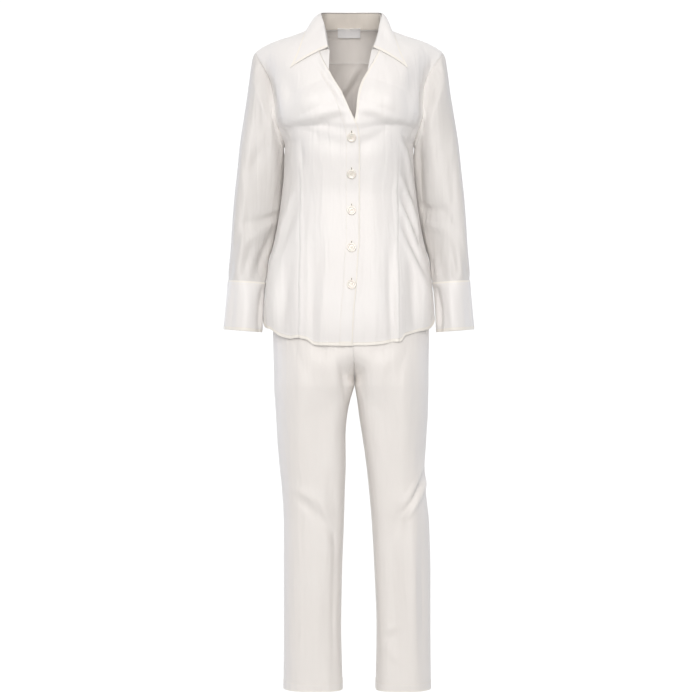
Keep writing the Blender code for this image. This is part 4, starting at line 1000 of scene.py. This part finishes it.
trouserCreases = {
    front: [
        # behind and beside the right knee
        (-115, -955, -50, -1005, 10, 3, 6, 0.3), (-105, -980, -50, -1040, 11, -3.4, 4, 0.3),
        (-60, -1010, -24, -1075, 11, -3.4, 3), (-30, -1060, -31, -1380, 10, -5),
        (-40, -930, -22, -1140, 13, -3.6, 4), (-130, -960, -125, -1340, 18, 2),
        (-75, -1120, -70, -1350, 18, 2.2), (-45, -1160, -50, -1340, 14, -2.2),
        (-100, -640, -105, -900, 20, 2.6), (-60, -660, -55, -880, 18, -2.6),
        # the drag from the crotch into each leg
        (-20, -640, -4, -772, 6.5, -3.4, -2, 0.3), (-34, -650, -18, -790, 11, 1.8),
        (30, -640, 44, -760, 10, 2, 0, 0.3), (52, -650, 70, -820, 15, -1.8),
        # the left knee, with one sharp crease from the outer seam
        (172, -865, 114, -1005, 4.2, -5.2, 12, 0.3), (176, -885, 121, -1016, 5, 4.4, 12, 0.3),
        (172, -845, 116, -985, 9, 2.2, 12, 0.3), (116, -995, 106, -1060, 12, -4.4),
        (96, -1030, 104, -1320, 22, -5), (142, -995, 145, -1370, 28, 8.5, -4, -0.6),
        (158, -1050, 160, -1300, 10, -1.8), (72, -1266, 108, -1246, 7, 2.2, 0, 0.2),
        (74, -1286, 104, -1266, 8, -2.2, 0, 0.2), (86, -1300, 112, -1335, 9, 1.8, 0, 0.2),
        (85, -700, 92, -950, 12, -1.6), (120, -680, 115, -880, 18, 2.2),
        (147, -700, 145, -860, 16, -1.4),
    ],
    back: [
        (-130, -750, -30, -805, 14, -5, 6, 0.2), (145, -750, 50, -805, 14, -5, -6, 0.2),
        (-120, -790, -40, -845, 12, 4, 4, 0.2), (135, -795, 62, -850, 12, 4, -4, 0.2),
        (-120, -990, -40, -1030, 13, -4.5, 4), (160, -995, 85, -1040, 13, -4.5, -4),
        (-110, -1030, -45, -1075, 12, 3.8, 0, 0.2), (150, -1035, 90, -1080, 12, 3.8, 0, 0.2),
        (-85, -1110, -82, -1340, 18, 2.6), (120, -1110, 122, -1340, 18, 2.6),
        (-50, -1140, -50, -1330, 14, -2.6), (90, -1140, 92, -1330, 14, -2.6),
        (-80, -850, -85, -980, 16, 3), (105, -850, 110, -980, 16, 3),
    ],
}


# Rings of the legs and the hips, as turns from the outer seam; a higher power is squarer.
def squareTurn(turn):
    across, forward = np.cos(turn), np.sin(turn)
    power = 2 / np.where(across < 0, trousers["innerPower"], trousers["power"])
    return np.copysign(np.abs(across) ** power, across), np.copysign(np.abs(forward) ** power, forward)


def legPoints(hand, z, turn, face):
    outer, inner = (legTable.at(column, z) for column in legColumns[hand])
    across, forward = squareTurn(turn)
    depth = legTable.at(depthColumn[face], z)
    x = (outer + inner) / 2 + across * (outer - inner) / 2
    return np.stack(np.broadcast_arrays(hand * x, -depth * forward, z), axis=-1)


def hipPoints(hand, z, turn, face):
    seamX = hipTable.at("seam", z)
    reach = hipTable.at("halfWidth", z) + hand * trousers["hipCentre"] - hand * seamX
    across, forward = squareTurn(turn)
    depth = hipTable.at(depthColumn[face], z)
    return np.stack(np.broadcast_arrays(seamX + hand * reach * across, -depth * forward, z), axis=-1)


def trouserHeights():
    t = trousers
    hem = t["hemZ"] + np.array([0, 0.003, 0.007, 0.012, 0.0155, 0.017, 0.0185, 0.0205, 0.024, 0.030])
    legs = np.linspace(t["hemZ"] + 0.035, t["crotchZ"], 160)
    rise = np.linspace(t["crotchZ"], t["crotchZ"] + t["rise"][back], 31)[1:]
    hips = np.linspace(t["crotchZ"] + t["rise"][back], t["waistZ"] - t["bandDepth"], 18)[1:]
    return np.concatenate((hem, legs, rise, hips))


def trouserPanel(hand, face):
    t = trousers
    height = trouserHeights()
    z = height[:, None]
    part = list(np.linspace(0, 1, t["columns"])) + [t["seamShare"], 1 - t["seamShare"]]
    part = np.array(sorted(part))[None, :]
    # the rise is short at the crotch and long at the outer seam
    near = ease((part - t["nearFrom"]) / t["nearOver"])
    low = t["crotchZ"] - t["outerDrop"] * (1 - near)
    share = ease((z - low) / blend(t["outerRise"], t["rise"][face], near))
    share = share ** blend(1.0, t["crotchPower"], near)
    turn = -face * part * math.pi
    points = blend(legPoints(hand, z, turn, face), hipPoints(hand, z, turn / 2, face), share[..., None])
    points[..., 1] *= 1 + blend(t["outerFill"], t["fill"][face], near) * 4 * share * (1 - share)
    fold = creaseHeight(trouserCreases[face], points[..., 0], points[..., 2]) * t["creaseStrength"]
    normals = gridNormals(points)
    if normals[len(points) // 2, part.size // 2, 1] * face < 0:
        normals = -normals
    # both sides of a seam share its way out
    above = height > t["crotchZ"] + 1e-6
    normals[:, 0, 1] = 0.0
    normals[above, -1, 0] = 0.0
    normals[~above, -1, 1] = 0.0
    normals[int(np.argmin(np.abs(height - t["crotchZ"]))), -1] = (0.0, 0.0, -1.0)
    normals = unitRows(normals)
    points = points + normals * (fold * np.minimum(1.0, t["foldRise"] * np.sin(part * math.pi)))[..., None]
    points = hemBand(points, normals, t["hem"])
    points = turnDown(points, normals, ("firstColumn", "lastColumn"), t["seamDepth"])
    points = pullIn(points, ("firstColumn", "lastColumn", "lastRow"))
    upper = height > t["crotchZ"] - 1e-6
    points[upper, -1, 0] = hipTable.at("seam", height[upper]) + hand * t["gap"] / 2
    return points, normals


for hand, word in ((right, "right"), (left, "left")):
    for face, side in ((front, "front"), (back, "back")):
        points, normals = trouserPanel(hand, face)
        kind = "trouser" + side.capitalize()
        sewnPanel(kind + word.capitalize(), f"trouser_{side}_{word}", kind, (points, normals), trouserSatin,
                  edge=(1, 0, 0, 0))
        sewLine("trousers", points[5], normals[5], lift=0.0003)


def waistRings():
    rings, quarter = [], math.pi / 2
    for z in np.linspace(trousers["waistZ"] - trousers["bandDepth"], trousers["waistZ"], 6):
        ring = []
        for hand, face, start, end in ((left, front, 0, quarter), (right, front, quarter, 0),
                                       (right, back, 0, -quarter), (left, back, -quarter, 0)):
            turn = np.linspace(start, end, 30, endpoint=False)
            ring.append(hipPoints(hand, np.full(30, z), turn, face))
        rings.append(np.concatenate(ring))
    points = pullIn(np.array(rings), ("firstRow",))
    normals = -gridNormals(np.array(rings), closed=True)
    turn = np.arange(points.shape[1]) * (2 * math.pi * trousers["gathers"] / points.shape[1])
    inset = trousers["bandInset"] + trousers["gatherDepth"] * np.sin(turn)
    return points - normals * inset[None, :, None], normals


sewnPanel("waistband", "trouser_waistband", "waistband", waistRings(), trouserSatin, held="gathered",
          closed=True)
print("trousers")


# Shell buttons with four holes, a raised rim and a cross of thread, each over its buttonhole.
button = dict(heights=(-0.197, -0.2735, -0.351, -0.4315, -0.5110), x=0.0055, radius=0.0102,
              holeAt=0.0021, hole=0.0009, holeDepth=0.0017, holeSlope=0.0005, lift=0.0020, sides=56)
buttonProfile = SizeTable("radius height", [
    (0, 2.1), (4, 2.1), (5.6, 2.2), (6.8, 2.9), (7.8, 3.2), (9, 3.2), (9.8, 2.8), (10.2, 2),
])


def closedRings(rings):
    sides = rings.shape[1]
    a, b = np.arange(sides), np.roll(np.arange(sides), -1)
    faces = [np.column_stack((b, a, a + sides, b + sides)) + r * sides for r in range(len(rings) - 1)]
    top, bottom = tuple(range(sides)), tuple(reversed(range(rings[1:, :, 0].size, rings[..., 0].size)))
    return rings.reshape(-1, 3), np.concatenate(faces).tolist() + [top, bottom]


def buttonMesh():
    b = button
    radius = np.array([0.0004, 0.0009, 0.0013, 0.0016, 0.0019, 0.0022, 0.0025, 0.0028, 0.0031, 0.0036, 0.0044,
                       0.0052, 0.0060, 0.0068, 0.0076, 0.0084, 0.0092, 0.0098, b["radius"]])[:, None]
    turn = np.linspace(0, 2 * math.pi, b["sides"], endpoint=False)[None, :]
    height = buttonProfile.at("height", radius) + 0 * turn
    for k in range(4):
        angle = math.pi / 4 + k * math.pi / 2
        away = np.hypot(radius * np.cos(turn) - b["holeAt"] * math.cos(angle),
                        radius * np.sin(turn) - b["holeAt"] * math.sin(angle))
        height = height - b["holeDepth"] * (1 - ease((away - b["hole"] * 0.7) / b["holeSlope"]))
    # the rounded back, from the rim to the flat face under it
    radius = np.append(radius, (b["radius"], 0.0094, 0.0082))[:, None]
    height = np.concatenate((height, np.array((0.0011, 0.0002, 0.0))[:, None] + 0 * turn))
    rings = np.broadcast_arrays(radius * np.cos(turn), radius * np.sin(turn), height)
    return closedRings(np.stack(rings, axis=-1))


cross = dict(radius=0.00042, lift=0.0027, sag=0.0016)


# A bar of thread from hole to hole, on top of the button.
def threadBar(start, end):
    start, end = np.array(start), np.array(end)
    along = (end - start) / np.linalg.norm(end - start)
    across = np.array((-along[1], along[0]))
    share = np.linspace(0, 1, 7)[:, None]
    turn = np.arange(6)[None, :] * math.pi / 3
    plan = blend(start, end, share[..., None]) + across * cross["radius"] * np.cos(turn)[..., None]
    height = cross["lift"] - cross["sag"] * np.abs(2 * share - 1) ** 3 + cross["radius"] * np.sin(turn)
    points, faces = closedRings(np.concatenate((plan, height[..., None]), axis=-1))
    return points, [tuple(reversed(face)) for face in faces]


# The buttonhole runs up and down: a slit with a raised edge of thread all round it, and a dark sheet down in
# the slit as painted shadow.
hole = dict(length=0.0225, width=0.0010, bead=0.0009, knot=0.25, lift=0.0003, above=0.0035, steps=56,
            darkShare=(0.45, 0.94), darkTop=0.00035, darkDepth=0.0003)


def holeMeshes():
    h, count = hole, hole["steps"]
    turn = np.linspace(0, 2 * math.pi, count, endpoint=False)
    x, y = np.cos(turn), np.sin(turn)
    slit = np.column_stack((np.copysign(np.abs(x) ** 0.5, x) * (h["width"] + h["bead"]) / 1.4,
                            np.copysign(np.abs(y) ** 0.35, y) * h["length"] / 2))
    along = np.gradient(np.concatenate((slit[-1:], slit, slit[:1])), axis=0)[1:-1]
    out = unitRows(along[:, ::-1] * np.array((1, -1)))
    knots = 1 + h["knot"] * np.sin(np.arange(count) * 2.6)
    rings = []
    for angle in np.arange(6) * math.pi / 3:
        plan = slit + out * h["bead"] * 0.5 * math.cos(angle)
        rings.append(np.column_stack((plan, h["lift"] + h["bead"] * 0.45 * math.sin(angle) * knots)))
    k, c = np.meshgrid(np.arange(6), np.arange(count), indexing="ij")
    n, d = (k + 1) % 6, (c + 1) % count
    faces = np.stack((k * count + c, k * count + d, n * count + d, n * count + c), axis=-1)
    # a dark sheet just below the top of the slit: painted shadow
    dark = np.column_stack((slit * np.array(h["darkShare"]), np.full(count, h["darkTop"])))
    below = dark - np.array((0, 0, h["darkDepth"]))
    return (np.concatenate(rings), faces.reshape(-1, 4).tolist()), closedRings(np.stack((dark, below)))


def placed(mesh, x, z, lift):
    place, out = shirtSurface(np.array([x]), np.array([z]), front, lift)
    turn = Vector(out[0]).to_track_quat("Z", "Y").to_matrix()
    return np.asarray(mesh[0]) @ np.array(turn).T + place[0], mesh[1]


beads, slitShadows, ties = [], [], []
at = button["holeAt"] * 0.707
onBand = band["gap"] + band["wall"] + 0.0002
for number, height in enumerate(button["heights"], start=1):
    here = (button["x"], height, button["lift"])
    piece = joinMeshes(f"shellButton{number}", [placed(buttonMesh(), *here)], pearl)
    ridesAs(piece, "shell", f"button_{number}")
    for start, end in (((-at, -at), (at, at)), ((-at, at), (at, -at))):
        ties.append(placed(threadBar(start, end), *here))
    for mesh, parts in zip(holeMeshes(), (beads, slitShadows)):
        parts.append(placed(mesh, button["x"], height + hole["above"], onBand))
for name, parts, material in (("buttonThread", ties, thread), ("buttonholeEdges", beads, thread),
                              ("buttonholeSlitShadows", slitShadows, shadowCloth)):
    ridesAs(joinMeshes(name, parts, material), "satin")
for garment, parts in stitchParts.items():
    ridesAs(joinMeshes(garment + "Stitching", parts, thread, smooth=False), "satin")
print("buttons, buttonholes and stitching")


# A plain pale floor and soft studio light: a white wall behind, a dimmer room in front of it.
studio = dict(floorZ=-1.60, floorRadius=0.96, floorColour="#E6E4E1", wallColour="#FFFFFF",
              wallStrength=1.08, roomStrength=0.265, wallFrom=-0.18, wallTo=0.98)
lights = [
    # name, place, aim, size, spread in degrees, watts, colour
    ("keySoftbox", (-0.25, -3.6, 0.75), (0.0, 0.0, 0.0), 2.6, 120, 42, "#FFFBF8"),
    ("fillSoftbox", (0.3, -3.9, -0.05), (0.0, 0.0, 0.0), 2.2, 110, 11, "#FFFBF8"),
    ("topSoftbox", (0.0, -0.3, 2.3), (0.0, 0.0, 0.0), 1.6, 150, 7, "#FFFCFA"),
    ("sideLeft", (-2.6, 0.9, -0.3), (0.0, 0.0, -0.4), 1.6, 150, 13, "#E6EDFF"),
    ("sideRight", (2.6, 0.9, -0.3), (0.0, 0.0, -0.4), 1.6, 150, 9, "#E6EDFF"),
]
floorMesh = bpy.data.meshes.new("floor")
turns = np.linspace(0, 2 * math.pi, 128, endpoint=False)
rim = np.column_stack((np.cos(turns), np.sin(turns), 0 * turns)) * studio["floorRadius"]
floorMesh.from_pydata(rim.tolist(), [], [tuple(range(len(rim)))])
floor = bpy.data.objects.new("floor", floorMesh)
floor.location = (0, 0, studio["floorZ"])
# matt paper: it gives the floor a soft even shade and no gloss
paper = newMaterial("seamless background paper, white", {
    "Base Color": linearColour(studio["floorColour"]), "Roughness": 0.9, "Specular IOR Level": 0.1})
floorMesh.materials.append(paper[0])
bpy.context.scene.collection.objects.link(floor)

world = bpy.data.worlds.new("studio")
bpy.context.scene.world = world
world.use_nodes = True
background = world.node_tree.nodes["Background"]
background.inputs["Color"].default_value = linearColour(studio["wallColour"])
way = addNode(world.node_tree, "ShaderNodeTexCoord")
parts = addNode(world.node_tree, "ShaderNodeSeparateXYZ", links={"Vector": way.outputs["Generated"]})
wall = addNode(world.node_tree, "ShaderNodeMapRange",
               {"From Min": studio["wallFrom"], "From Max": studio["wallTo"],
                "To Min": studio["roomStrength"], "To Max": studio["wallStrength"]},
               {"Value": parts.outputs["Y"]}, interpolation_type="SMOOTHSTEP")
world.node_tree.links.new(wall.outputs["Result"], background.inputs["Strength"])
bpy.context.scene.view_settings.view_transform = "Standard"

for name, place, aim, size, spread, watts, colour in lights:
    data = bpy.data.lights.new(name, "AREA")
    data.size, data.spread, data.energy = size, math.radians(spread), watts
    data.color = linearColour(colour)[:3]
    lamp = bpy.data.objects.new(name, data)
    lamp.location = place
    lamp.rotation_mode = "QUATERNION"
    lamp.rotation_quaternion = (Vector(aim) - Vector(place)).to_track_quat("-Z", "Y")
    bpy.context.scene.collection.objects.link(lamp)
print("studio")
